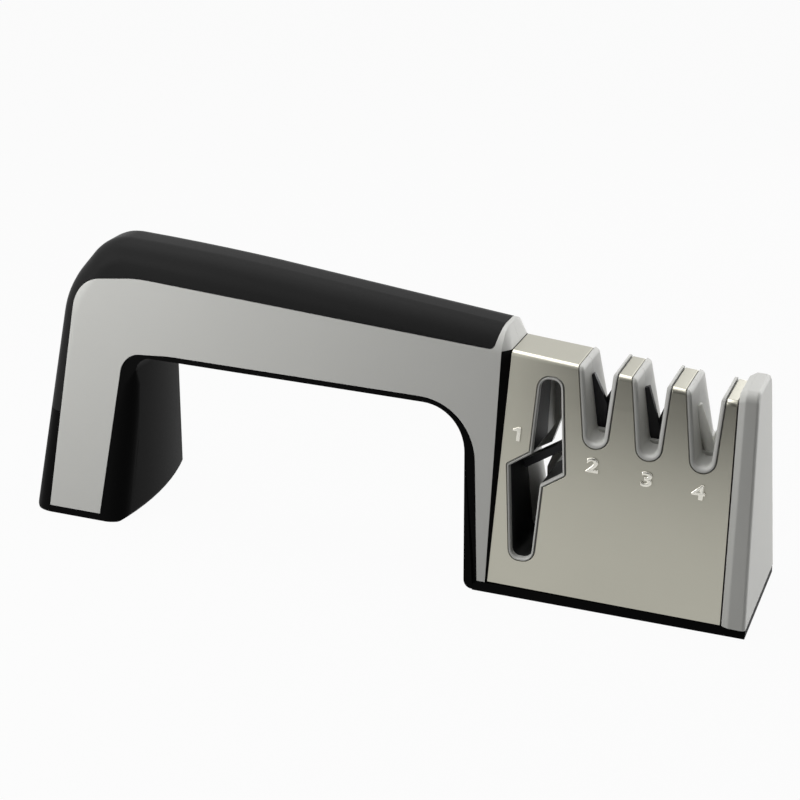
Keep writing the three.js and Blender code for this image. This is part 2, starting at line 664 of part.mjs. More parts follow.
/** The whole plastic body of the head with its slots, before it is split in two. */
function housingBody() {
  const end = (z) => capJoint(z) - GAP;
  const span = { start: () => HOUSING_START, end, bottom: HEAD_FOOT };
  const wall = STEEL + FACE_GAP;
  const proud = headForm({ ...span, margin: -LIP_PROUD, radius: STEEL_BEND + LIP_PROUD });
  let body = headForm({ ...span, margin: wall, radius: STEEL_BEND - STEEL });
  for (const corners of CUTOUTS) {
    body = body.add(proud.intersect(through(grow(corners, -LIP_GAP))));
  }
  for (const corners of CUTOUTS) {
    body = body.subtract(through(grow(corners, -LIP_GAP - LIP)));
  }
  const depth = HOLDER_HALF_DEPTH + GAP;
  PLATES.forEach(([, { height }], i) => {
    body = body.subtract(slab(insertPocket(i, height, GAP), () => -depth, () => depth));
  });
  const [[left, floor], [right]] = insertPocket(SLOT_COUNT - 1, ROD_POCKET_HEIGHT, GAP);
  body = body.subtract(block(left, right, -depth, depth, floor, floor + HOLDER_HEIGHT + GAP));
  for (const side of [-1, 1]) {
    body = body.subtract(ceramicRod(side, GAP));
  }
  for (const x of SCREWS) {
    body = body.subtract(housingScrew(x, GAP));
  }
  return body
    .subtract(scissorLiner(GAP, false))
    .subtract(rail(SLIDE_GAP, -1))
    .subtract(capPegs(GAP));
}

/** Moulded cap that closes the end of the head. */
function endCap() {
  const start = (z) => capJoint(z) + GAP;
  const ring = (x, inset) => loaf({
    x,
    half: (z) => headHalf(0, z) + CAP_PROUD - inset,
    top: headTop(HEAD_LENGTH - CAP_THICKNESS) + CAP_TOP_PROUD - inset,
    radius: CAP_RADIUS,
    bottom: HEAD_FOOT,
  });
  const body = loft([
    ring(start, CAP_PROUD),
    ring((z) => start(z) + CAP_PROUD, 0),
    ring((z) => capFace(z) - CAP_EDGE, 0),
    ring(capFace, CAP_EDGE),
  ]);
  return body.add(capPegs(0));
}

// Assembly
const handle = new THREE.Group();
handle.add(piece('handle_frame', handleFrame(), BLACK_ABS));
handle.add(piece('grip_cover', gripCover(), SOFT_GRIP));
const shell = sideShell();
handle.add(piece('side_shell_front', shell, GREY_ABS));
handle.add(piece('side_shell_rear', shell.mirror([0, 1, 0]), GREY_ABS));
handle.add(piece('foot_pad', pad(FOOT_PAD_X, 0, PAD_THICKNESS, FOOT_PAD), BLACK_RUBBER));
for (const [name, x] of BASE_PADS) {
  handle.add(piece(name, pad(x, 0, PAD_THICKNESS, BASE_PAD), BLACK_RUBBER));
}

const head = new THREE.Group();
const housing = housingBody();
const housingHalves = [
  ['housing_front', block(-FAR, FAR, -FAR, -FACE_GAP, -FAR, FAR)],
  ['housing_rear', block(-FAR, FAR, FACE_GAP, FAR, -FAR, FAR)],
];
for (const [name, side] of housingHalves) {
  head.add(piece(name, housing.intersect(side), GREY_ABS));
}
head.add(piece('steel_cover', steelCover(), STAINLESS));
head.add(piece('end_cap', endCap(), GREY_ABS));
head.add(piece('scissor_liner', scissorLiner(0, true), BLACK_ABS));
head.add(piece('scissor_bar', scissorBar(0), CARBIDE));
const SIDES = [['left', -1], ['right', 1]];
PLATES.forEach(([name, sizes, material], i) => {
  for (const [label, side] of SIDES) {
    head.add(piece(`${name}_${label}`, plate(i, sizes, side), material));
  }
});
for (const [label, side] of SIDES) {
  head.add(piece(`ceramic_rod_${label}`, ceramicRod(side, 0), CERAMIC));
}
const HOLDER_NAMES = ['coarse', 'medium', 'fine'];
const HOLDER_SPANS = [...PLATES.map(([, { height }]) => height), ROD_POCKET_HEIGHT];
HOLDER_NAMES.forEach((name, i) => {
  head.add(piece(`insert_holder_${name}`, insertHolder(i, HOLDER_SPANS[i]), BLACK_ABS));
});
SCREWS.forEach((x, i) => {
  head.add(piece(`housing_screw_${i + 1}`, housingScrew(x, 0), ZINC));
});

const sharpener = new THREE.Group();
sharpener.add(handle, head);
sharpener.position.x = (HANDLE_LENGTH - HEAD_LENGTH) / 2;

export default sharpener;
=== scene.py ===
"""Knife and scissor sharpener: modelled surfaces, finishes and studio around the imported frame.

Pieces are modelled in millimetres, in the side view's x and z from the seam between handle and head,
and settle into the scene in metres. The front is at -y, and the head is at +x.
"""

import json
import logging
import math
from collections.abc import Callable, Iterator, Sequence
from contextlib import contextmanager
from dataclasses import dataclass, field
from enum import Enum

import bpy
from mathutils import Matrix, Quaternion, Vector

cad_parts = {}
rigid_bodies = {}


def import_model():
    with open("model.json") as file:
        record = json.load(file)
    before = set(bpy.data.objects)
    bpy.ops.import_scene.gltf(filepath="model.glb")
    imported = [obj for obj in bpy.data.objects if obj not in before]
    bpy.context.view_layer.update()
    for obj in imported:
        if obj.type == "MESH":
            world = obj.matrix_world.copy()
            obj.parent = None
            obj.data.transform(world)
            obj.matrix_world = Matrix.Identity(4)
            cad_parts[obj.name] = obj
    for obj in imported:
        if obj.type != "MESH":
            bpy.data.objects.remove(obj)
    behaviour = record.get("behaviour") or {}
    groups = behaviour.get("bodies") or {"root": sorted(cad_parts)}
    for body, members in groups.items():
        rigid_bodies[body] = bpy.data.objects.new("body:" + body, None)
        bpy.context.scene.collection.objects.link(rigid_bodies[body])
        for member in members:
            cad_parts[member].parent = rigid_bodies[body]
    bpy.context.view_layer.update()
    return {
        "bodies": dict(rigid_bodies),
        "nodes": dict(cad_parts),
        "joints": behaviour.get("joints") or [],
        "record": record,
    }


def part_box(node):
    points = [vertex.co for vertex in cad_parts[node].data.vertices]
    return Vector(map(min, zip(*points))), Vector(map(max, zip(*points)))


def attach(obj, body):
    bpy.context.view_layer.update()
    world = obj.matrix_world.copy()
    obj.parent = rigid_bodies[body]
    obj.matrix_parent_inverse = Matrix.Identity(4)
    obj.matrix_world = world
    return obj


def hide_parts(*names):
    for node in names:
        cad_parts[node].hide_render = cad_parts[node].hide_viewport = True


LOG = logging.getLogger("sharpener")

MM = 0.001
WIDE = 60.0  # beyond every side, for cutters
CLEAR = 1.0  # how far other cutters reach past what they cut
WELD = 0.004  # closest points that stay apart after a cut
NODE_WELD = 0.002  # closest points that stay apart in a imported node
FLAT = 0.4  # degrees between faces that count as one
SMOOTH = 40.0  # degrees across an edge that is still shaded smooth
ARC_STEPS = 14
ARC_TURN = 0.6  # degrees that a step of an arc turns at least, so that none counts as flat
EDGE_STEPS = 8  # across a rolled edge

Corner = tuple[float, float, float]
Points = tuple[tuple[float, float], ...]
AtHeight = Callable[[float], float]
Depth = Callable[[float, float], float]
Ring = list[Vector]


class Join(Enum):
    """How a tool changes the piece that it is combined with."""

    ADD = "UNION"
    CUT = "DIFFERENCE"
    KEEP = "INTERSECT"


class Body(Enum):
    """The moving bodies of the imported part."""

    HANDLE = "handle"
    HEAD = "head"


class Side(Enum):
    """The two leans of a crossed pair."""

    LEFT = -1
    RIGHT = 1


# Outlines


def grow(corners: Sequence[Corner], distance: float) -> list[Corner]:
    """Moves an outline's corners out, with its round corners.

    Args:
        corners: x, z and radius of each corner, counter-clockwise from the front.
        distance: How far out, in millimetres; negative is in.

    Returns:
        The corners of the moved outline.
    """
    moved = []
    for i, (x, z, radius) in enumerate(corners):
        here = Vector((x, z))
        along = (here - Vector(corners[i - 1][:2])).normalized()
        ahead = (Vector(corners[(i + 1) % len(corners)][:2]) - here).normalized()
        mitre = distance / (1 + along.dot(ahead))
        turned = radius + math.copysign(distance, distance * along.cross(ahead))
        moved.append(
            (
                x + mitre * (along.y + ahead.y),
                z - mitre * (along.x + ahead.x),
                max(turned, 0.0) if radius else 0.0,
            )
        )
    return moved


def trace(corners: Sequence[Corner], steps: int = ARC_STEPS) -> list[Vector]:
    """Points along an outline, with each round corner as an arc.

    Args:
        corners: x, z and radius of each corner.
        steps: Segments of each arc, fewer where it hardly turns.

    Returns:
        The points, in x and z.
    """
    points = []
    for i, (x, z, radius) in enumerate(corners):
        corner = Vector((x, z))
        if not radius:
            points.append(corner)
            continue
        back = (Vector(corners[i - 1][:2]) - corner).normalized()
        ahead = (Vector(corners[(i + 1) % len(corners)][:2]) - corner).normalized()
        half = back.angle(ahead) / 2
        centre = corner + (back + ahead).normalized() * (radius / math.sin(half))
        start = corner + back * (radius / math.tan(half)) - centre
        turn = math.copysign(math.pi - 2 * half, ahead.cross(back))
        count = min(steps, max(1, int(abs(turn) / math.radians(ARC_TURN))))
        for k in range(count + 1):
            points.append(centre + Matrix.Rotation(turn * k / count, 2) @ start)
    return points


# Modelling at the bench


def select_only(obj: bpy.types.Object) -> None:
    """Makes a piece the only selected one, and the active one.

    Args:
        obj: The piece.
    """
    bpy.ops.object.select_all(action="DESELECT")
    obj.select_set(True)
    bpy.context.view_layer.objects.active = obj


@contextmanager
def editing(obj: bpy.types.Object, everything: bool = True) -> Iterator[None]:
    """Edit mode on one piece.

    Args:
        obj: The piece.
        everything: Whether the whole mesh starts selected; otherwise the chosen edges stay selected.
    """
    select_only(obj)
    bpy.context.tool_settings.mesh_select_mode = (everything, not everything, False)
    bpy.ops.object.mode_set(mode="EDIT")
    if everything:
        bpy.ops.mesh.select_all(action="SELECT")
    yield
    bpy.ops.object.mode_set(mode="OBJECT")


def loft(name: str, rings: Sequence[Ring]) -> bpy.types.Object:
    """A closed body skinned over rings of points: a filled circle that is extruded ring by ring.

    Args:
        name: The piece's name.
        rings: The rings, each with as many points.

    Returns:
        The body.
    """
    bpy.ops.object.select_all(action="DESELECT")
    bpy.ops.mesh.primitive_circle_add(vertices=len(rings[0]), fill_type="NGON")
    obj = bpy.context.object
    obj.name = name
    with editing(obj):
        for _ in rings[1:]:
            bpy.ops.mesh.extrude_region_move()
    points = (point for ring in rings for point in ring)
    for vertex, point in zip(obj.data.vertices, points):
        vertex.co = point
    with editing(obj):
        bpy.ops.mesh.normals_make_consistent(inside=False)
    return obj


def slab(
    name: str, corners: Sequence[Corner], near: Depth, far: Depth, steps: int = ARC_STEPS
) -> bpy.types.Object:
    """A body with this side view, between two faces.

    Args:
        name: The piece's name.
        corners: The side view's corners.
        near: y of the front face at x and z.
        far: y of the rear face at x and z.
        steps: Segments of each arc.

    Returns:
        The body.
    """
    points = trace(corners, steps)
    return loft(name, [[Vector((x, face(x, z), z)) for x, z in points] for face in (near, far)])


def through(name: str, corners: Sequence[Corner]) -> bpy.types.Object:
    """A cutter with this side view that passes through every side."""
    return slab(name, corners, lambda x, z: -WIDE, lambda x, z: WIDE)


def block(name: str, low: Sequence[float], high: Sequence[float]) -> bpy.types.Object:
    """A box between two corners.

    Args:
        name: The piece's name.
        low: Its lowest corner.
        high: Its highest corner.

    Returns:
        The box.
    """
    (x0, y0, z0), (x1, y1, z1) = low, high
    corners = [(x0, z0, 0), (x1, z0, 0), (x1, z1, 0), (x0, z1, 0)]
    return slab(name, corners, lambda x, z: y0, lambda x, z: y1)


def rod(name: str, radius: float, foot: Vector, tip: Vector, sides: int = 48) -> bpy.types.Object:
    """A round bar between two points.

    Args:
        name: The piece's name.
        radius: Its radius.
        foot: The middle of one end.
        tip: The middle of the other end.
        sides: Segments round it.

    Returns:
        The bar.
    """
    along = tip - foot
    turn = along.to_track_quat("Z", "Y")
    bpy.ops.object.select_all(action="DESELECT")
    bpy.ops.mesh.primitive_cylinder_add(
        vertices=sides, radius=radius, depth=along.length, location=(foot + tip) / 2, rotation=turn.to_euler()
    )
    obj = bpy.context.object
    obj.name = name
    bpy.ops.object.transform_apply(location=True, rotation=True, scale=True)
    return obj


def apply_modifier(obj: bpy.types.Object, kind: str, **settings: object) -> None:
    """Adds a modifier with its settings and applies it.

    Args:
        obj: The piece.
        kind: The modifier's type.
        settings: Its properties.
    """
    modifier = obj.modifiers.new(kind.lower(), kind)
    for key, value in settings.items():
        setattr(modifier, key, value)
    select_only(obj)
    bpy.ops.object.modifier_apply(modifier=modifier.name)


def combine(obj: bpy.types.Object, tool: bpy.types.Object, join: Join) -> None:
    """Joins or cuts a piece with a tool, which is used up."""
    apply_modifier(obj, "BOOLEAN", operation=join.value, solver="EXACT", object=tool)
    bpy.data.objects.remove(tool)


def duplicate(obj: bpy.types.Object, name: str) -> bpy.types.Object:
    """A copy of a piece with a mesh of its own.

    Args:
        obj: The piece.
        name: The copy's name.

    Returns:
        The copy.
    """
    copy = obj.copy()
    copy.data = obj.data.copy()
    copy.name = name
    bpy.context.scene.collection.objects.link(copy)
    return copy


def trim(obj: bpy.types.Object, point: Sequence[float], normal: Sequence[float]) -> None:
    """Cuts off what lies beyond a plane and closes the cut."""
    with editing(obj):
        bpy.ops.mesh.bisect(plane_co=point, plane_no=normal, use_fill=True, clear_outer=True)


def roll_edges(
    obj: bpy.types.Object, wanted: Callable[[Vector, Vector], bool], radius: float, segments: int
) -> None:
    """Rounds the chosen edges of a piece.

    Args:
        obj: The piece.
        wanted: Whether an edge with these two ends is rounded.
        radius: Radius of the round.
        segments: Segments across it.
    """
    mesh = obj.data
    for item in (*mesh.polygons, *mesh.vertices):
        item.select = False
    for edge in mesh.edges:
        edge.select = wanted(*(mesh.vertices[i].co for i in edge.vertices))
    with editing(obj, everything=False):
        bpy.ops.mesh.bevel(offset=radius, segments=segments, affect="EDGES", clamp_overlap=False)


def mirrored(obj: bpy.types.Object, name: str) -> bpy.types.Object:
    """A copy of a piece on the other side of the middle plane.

    Args:
        obj: The piece.
        name: The copy's name.

    Returns:
        The copy.
    """
    copy = duplicate(obj, name)
    select_only(copy)
    bpy.ops.transform.resize(value=(1, -1, 1), center_override=(0, 0, 0))
    bpy.ops.object.transform_apply(location=True, rotation=True, scale=True)
    with editing(copy):
        bpy.ops.mesh.normals_make_consistent(inside=False)
    return copy


def soften(obj: bpy.types.Object, width: float, segments: int = 3, angle: float = 35.0) -> None:
    """Merges what the cuts left split, and breaks every sharp edge with a small round.

    Args:
        obj: The piece.
        width: Width of the round.
        segments: Segments across it.
        angle: Smallest angle of an edge that counts as sharp, in degrees.
    """
    with editing(obj):
        bpy.ops.mesh.remove_doubles(threshold=WELD)
        bpy.ops.mesh.dissolve_limited(angle_limit=math.radians(FLAT))
    apply_modifier(
        obj,
        "BEVEL",
        width=width,
        segments=segments,
        limit_method="ANGLE",
        angle_limit=math.radians(angle),
        use_clamp_overlap=True,
    )


# Finishes


def linear(colour: str) -> tuple[float, float, float, float]:
    """Linear red, green, blue and alpha of an sRGB hex colour."""
    channels = [int(colour[i : i + 2], 16) / 255 for i in (1, 3, 5)]
    return (*[c / 12.92 if c <= 0.04045 else ((c + 0.055) / 1.055) ** 2.4 for c in channels], 1.0)


def per_mm(size: float) -> float:
    """Texture scale, per metre of the scene, of a pattern that repeats every so many millimetres."""
    return 1 / (size * MM)


def add_node(
    tree: bpy.types.NodeTree, kind: str, settings: dict[str | int, object], links: dict[str | int, object]
) -> bpy.types.Node:
    """Adds a node to a material.

    Args:
        tree: The material's nodes.
        kind: The node's type, after ShaderNode.
        settings: Values of its sockets and properties.
        links: Sockets that feed its inputs.

    Returns:
        The node.
    """
    node = tree.nodes.new("ShaderNode" + kind)
    for key, value in settings.items():
        if isinstance(key, int) or key in node.inputs:
            node.inputs[key].default_value = value
        else:
            setattr(node, key, value)
    for key, socket in links.items():
        tree.links.new(socket, node.inputs[key])
    return node


@dataclass(frozen=True)
class Finish:
    """A surface: the record's slot, the real material's name and how it meets the light."""

    slot: str
    name: str
    colour: str
    roughness: float
    metallic: float = 0.0
    ior: float = 1.5
    gloss: float = 0.5  # strength of the reflection of a plain surface
    shade: float = 0.06  # how far the colour drifts over the surface
    drift: float = 35.0  # millimetres from one drift to the next
    drift_detail: float = 3.0
    grain: float = 0.4  # millimetres from one grain of the surface to the next
    grain_detail: float = 2.0
    grain_wear: float = 0.06  # how far the roughness goes up and down with the grain
    relief: float = 0.12  # strength of the grain
    stretch: tuple[float, float, float] = (1.0, 1.0, 1.0)  # the grain's length along each axis

    def material(self) -> bpy.types.Material:
        """Builds the material.

        Returns:
            The material, with its colour, roughness and relief on the piece's own coordinates.
        """
        material = bpy.data.materials.new(self.name)
        material.use_nodes = True
        tree = material.node_tree
        shader = tree.nodes["Principled BSDF"]
        shader.inputs["Metallic"].default_value = self.metallic
        shader.inputs["IOR"].default_value = self.ior
        shader.inputs["Specular IOR Level"].default_value = self.gloss
        place = add_node(tree, "TexCoord", {}, {}).outputs["Object"]
        drift = add_node(
            tree, "TexNoise", {"Scale": per_mm(self.drift), "Detail": self.drift_detail}, {"Vector": place}
        )
        colour = linear(self.colour)
        tones = [tuple(c * (1 + sign * self.shade) for c in colour[:3]) + (1.0,) for sign in (-1, 1)]
        # Inputs 6 and 7 of this node are its two colours, and output 2 is their mix
        tint = add_node(
            tree, "Mix", {"data_type": "RGBA", 6: tones[0], 7: tones[1]}, {0: drift.outputs["Fac"]}
        )
        tree.links.new(tint.outputs[2], shader.inputs["Base Color"])
        scale = [1 / s for s in self.stretch]
        along = add_node(tree, "Mapping", {"Scale": scale}, {"Vector": place}).outputs["Vector"]
        grain = add_node(
            tree, "TexNoise", {"Scale": per_mm(self.grain), "Detail": self.grain_detail}, {"Vector": along}
        )
        rough = add_node(
            tree,
            "MapRange",
            {"To Min": self.roughness - self.grain_wear, "To Max": self.roughness + self.grain_wear},
            {"Value": grain.outputs["Fac"]},
        )
        tree.links.new(rough.outputs["Result"], shader.inputs["Roughness"])
        bump = add_node(
            tree,
            "Bump",
            {"Strength": self.relief, "Distance": self.grain * MM / 2},
            {"Height": grain.outputs["Fac"]},
        )
        tree.links.new(bump.outputs["Normal"], shader.inputs["Normal"])
        return material


# Moulded ABS in light grey: an even satin face, with a fine spark-eroded grain
GREY_ABS = Finish("grey_abs", "moulded_grey_abs", "#B9B9B5", 0.45, shade=0.03, grain=0.35, relief=0.08)
# Moulded ABS in black: deep, with a soft reflection
BLACK_ABS = Finish("black_abs", "moulded_black_abs", "#040404", 0.5, gloss=0.03, shade=0.1, grain=0.35)
# The same ABS with a satin face, where it lines the scissor slot; its colour, lighter than the black ABS, is
# painted light in the slot
LINER_ABS_PAINTED_LIGHT = Finish("black_abs", "satin_black_abs", "#222222", 0.5, gloss=0.1, shade=0.1, grain=0.35)
# Soft-touch rubber skin: dark grey and matt, with a faint soft sheen
SOFT_GRIP = Finish(
    "soft_grip", "soft_touch_rubber", "#232323", 0.38, gloss=0.018, shade=0.08, grain=0.3, relief=0.15
)
# Moulded rubber: dull black
PAD_RUBBER = Finish("pad_rubber", "moulded_rubber", "#191919", 0.8, shade=0.12, grain=0.5, relief=0.3)
# Stainless sheet brushed along its length: fine streaks that draw the reflections out upright
STAINLESS = Finish(
    "brushed_stainless",
    "brushed_stainless_steel",
    "#ABA99D",
    0.34,
    metallic=1.0,
    shade=0.05,
    grain=0.22,
    relief=0.1,
    stretch=(120.0, 1.0, 1.0),
)
# The same steel where it is raised and polished, with crisp reflections; its colour, lighter than the brushed
# steel's, is a painted glint
POLISHED_WITH_PAINTED_GLINT = Finish(
    "brushed_stainless", "polished_stainless_steel", "#DEDCD2", 0.25, metallic=1.0, shade=0.03, relief=0.04
)
# Ground tungsten carbide: nearly black metal with grinding marks
CARBIDE = Finish(
    "tungsten_carbide",
    "ground_tungsten_carbide",
    "#1B1B1D",
    0.4,
    metallic=0.6,
    grain=0.2,
    stretch=(1.0, 1.0, 12.0),
)
# Nickel plate set with diamond grit: dark and sparkling
DIAMOND = Finish(
    "diamond_coat", "diamond_grit_on_nickel", "#242426", 0.55, metallic=0.5, grain=0.18, relief=0.8
)
# Sintered alumina: chalky white
CERAMIC = Finish("white_ceramic", "sintered_alumina", "#EDEDE8", 0.5, ior=1.7, shade=0.02, grain=0.15)
# Zinc-plated steel
ZINC = Finish("zinc_screw", "zinc_plated_steel", "#9A9CA0", 0.35, metallic=1.0, grain=0.6)


class Workshop:
    """Settles pieces into the scene, with their finish, their body and what they stand for."""

    def __init__(self, seam: float) -> None:
        """Keeps the seam's place in the part.

        Args:
            seam: x of the seam between handle and head, in metres.
        """
        self.seam = seam
        self.materials: dict[str, bpy.types.Material] = {}

    def material(self, finish: Finish) -> bpy.types.Material:
        """The finish's material, made when it is first asked for.

        Args:
            finish: The finish.

        Returns:
            Its material.
        """
        if finish.name not in self.materials:
            self.materials[finish.name] = finish.material()
        return self.materials[finish.name]

    def settle(self, obj: bpy.types.Object, finish: Finish, body: Body, *nodes: str) -> None:
        """Moves a finished piece from the bench into the scene.

        Args:
            obj: The piece, in millimetres from the seam.
            finish: Its finish.
            body: The body that it rides on.
            nodes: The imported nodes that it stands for.
        """
        obj.scale = (MM, MM, MM)
        obj.location = (self.seam, 0, 0)
        select_only(obj)
        bpy.ops.object.transform_apply(location=True, rotation=True, scale=True)
        bpy.ops.object.shade_smooth_by_angle(angle=math.radians(SMOOTH))
        apply_modifier(obj, "WEIGHTED_NORMAL", weight=100, keep_sharp=True)
        obj.data.materials.clear()
        obj.data.materials.append(self.material(finish))
        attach(obj, body.value)
        if nodes:
            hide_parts(*nodes)
        LOG.info("%s: %d faces in %s on %s", obj.name, len(obj.data.polygons), finish.name, body.value)

    def dress(self, node: bpy.types.Object, finish: Finish, bevel: float) -> None:
        """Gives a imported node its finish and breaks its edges.

        Args:
            node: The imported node, which stays as it is.
            finish: Its finish.
            bevel: Width of the broken edges, in millimetres.
        """
        node.data.materials.clear()
        node.data.materials.append(self.material(finish))
        weld = node.modifiers.new("weld", "WELD")
        weld.merge_threshold = NODE_WELD * MM
        edges = node.modifiers.new("edges", "BEVEL")
        edges.width = bevel * MM
        edges.segments = 2
        edges.limit_method = "ANGLE"
        LOG.info("%s: packed node in %s", node.name, finish.name)


# The object's forms


def loaf(x: AtHeight, half: AtHeight, top: float, radius: float, bottom: float) -> Ring:
    """A cross-section with sloping sides and round upper edges.

    Args:
        x: Place along the length at a height.
        half: Half width at a height.
        top: Height of its top.
        radius: Radius of its upper edges.
        bottom: Height of its foot.

    Returns:
        The ring.
    """
    side = [(half(bottom), bottom)]
    for k in range(ARC_STEPS + 1):
        angle = math.pi / 2 * k / ARC_STEPS
        z = top - radius + radius * math.sin(angle)
        side.append((half(z) - radius + radius * math.cos(angle), z))
    other = [(-y, z) for y, z in reversed(side)]
    return [Vector((x(z), y, z)) for y, z in side + other]


@dataclass(frozen=True)
class HeadForm:
    """The drafted block of the sharpening head."""

    length: float = 72.9
    base_half: float = 23.0
    draft: float = 0.218
    top_at_seam: float = 66.4
    fall: float = 0.067
    bend: float = 1.5
    foot: float = 2.6
    seam_lean: float = 0.0137
    cap_thickness: float = 7.0
    cap_lean: float = 0.076
    joint_lean: float = 0.061

    def half(self, z: float) -> float:
        """Half width at a height."""
        return self.base_half - self.draft * z

    def top(self, x: float) -> float:
        """Height of the top."""
        return self.top_at_seam - self.fall * x

    def seam(self, z: float) -> float:
        """x of the seam with the handle."""
        return -self.seam_lean * z

    def joint(self, z: float) -> float:
        """x of the joint with the end cap."""
        return self.length - self.cap_thickness - self.joint_lean * z

    def face(self, z: float) -> float:
        """x of the end cap's face."""
        return self.length - self.cap_lean * z

    def front(self, x: float, z: float) -> float:
        """y of the steel's front face."""
        return -self.half(z)

    def solid(
        self, name: str, margin: float, start: AtHeight, end: AtHeight, foot: float | None = None
    ) -> bpy.types.Object:
        """A body of the head's form.

        Args:
            name: The piece's name.
            margin: How far it is taken in.
            start: x of its end towards the handle, at a height.
            end: x of its other end, at a height.
            foot: Height of its foot, the head's own by default.

        Returns:
            The body.
        """
        bottom = self.foot if foot is None else foot
        rings = [
            loaf(x, lambda z: self.half(z) - margin, self.top(x(0)) - margin, self.bend - margin, bottom)
            for x in (start, end)
        ]
        return loft(name, rings)


@dataclass(frozen=True)
class HandleForm:
    """The flared, drafted arch that the frame, the grip and the side shells share."""

    length: float = 141.4
    base_half: float = 23.5
    flare: float = 0.0145
    draft: float = 0.19
    crest: float = 81.55
    top_at_seam: float = 71.7
    fall: float = 0.0955
    bend: float = -92.0  # where the grip's top starts to fall towards the head
    bend_radius: float = 800.0
    brow: float = -125.2  # corner between the grip's top and the slope behind it
    brow_radius: float = 13.0
    nape: float = 65.7  # height of the corner between that slope and the heel
    nape_radius: float = 25.0
    heel_lean: float = 0.07
    edge_radius: float = 7.0
    foot_radius: float = 2.8  # of the heel at the table
    end_at_foot: float = -0.15  # where the chamfer towards the head begins
    end_lean: float = 0.043
    clearance: float = 0.06  # table to the mouldings
    skim: float = 0.02  # of cutters, so that no face lies in another

    def half(self, x: float, z: float) -> float:
        """Half width at a place in the side view."""
        return self.base_half - self.flare * x - self.draft * z

    def heel(self, z: float) -> float:
        """x of the back of the leg."""
        return self.heel_lean * z - self.length

    def top(self, x: float) -> float:
        """Height of the grip between its bend and the head."""
        return self.top_at_seam - self.fall * x

    def end(self, z: float) -> float:
        """x where the chamfer towards the head begins."""
        return self.end_at_foot - self.end_lean * z

    def solid(self, name: str, inset: float, past: float = 0.0) -> bpy.types.Object:
        """The form before the arch is cut, taken in on top, back and sides.

        Args:
            name: The piece's name.
            inset: How far it is taken in.
            past: How far it reaches past the form's end.

        Returns:
            The body.
        """
        beyond = 2 * self.edge_radius
        spine = [
            (self.heel(-beyond), -beyond, 0.0),
            (beyond, -beyond, 0.0),
            (beyond, self.top(beyond), 0.0),
            (self.bend, self.top(self.bend), self.bend_radius),
            (self.brow, self.crest, self.brow_radius),
            (self.heel(self.nape), self.nape, self.nape_radius),
        ]
        form = slab(
            name,
            grow(spine, -inset),
            lambda x, z: inset - self.half(x, z),
            lambda x, z: self.half(x, z) - inset,
            steps=2 * ARC_STEPS,
        )
        roll_edges(form, lambda a, b: a.y * b.y > 0, self.edge_radius - inset, EDGE_STEPS)
        trim(form, (self.end(0) + past, 0, 0), (1, 0, self.end_lean))
        low = self.clearance
        stance = [
            (self.heel(low) - self.skim, low, self.foot_radius),
            (WIDE, low, 0.0),
            (WIDE, 2 * WIDE, 0.0),
            (self.heel(2 * WIDE) - self.skim, 2 * WIDE, 0.0),
        ]
        combine(form, through("stance", stance), Join.KEEP)
        return form


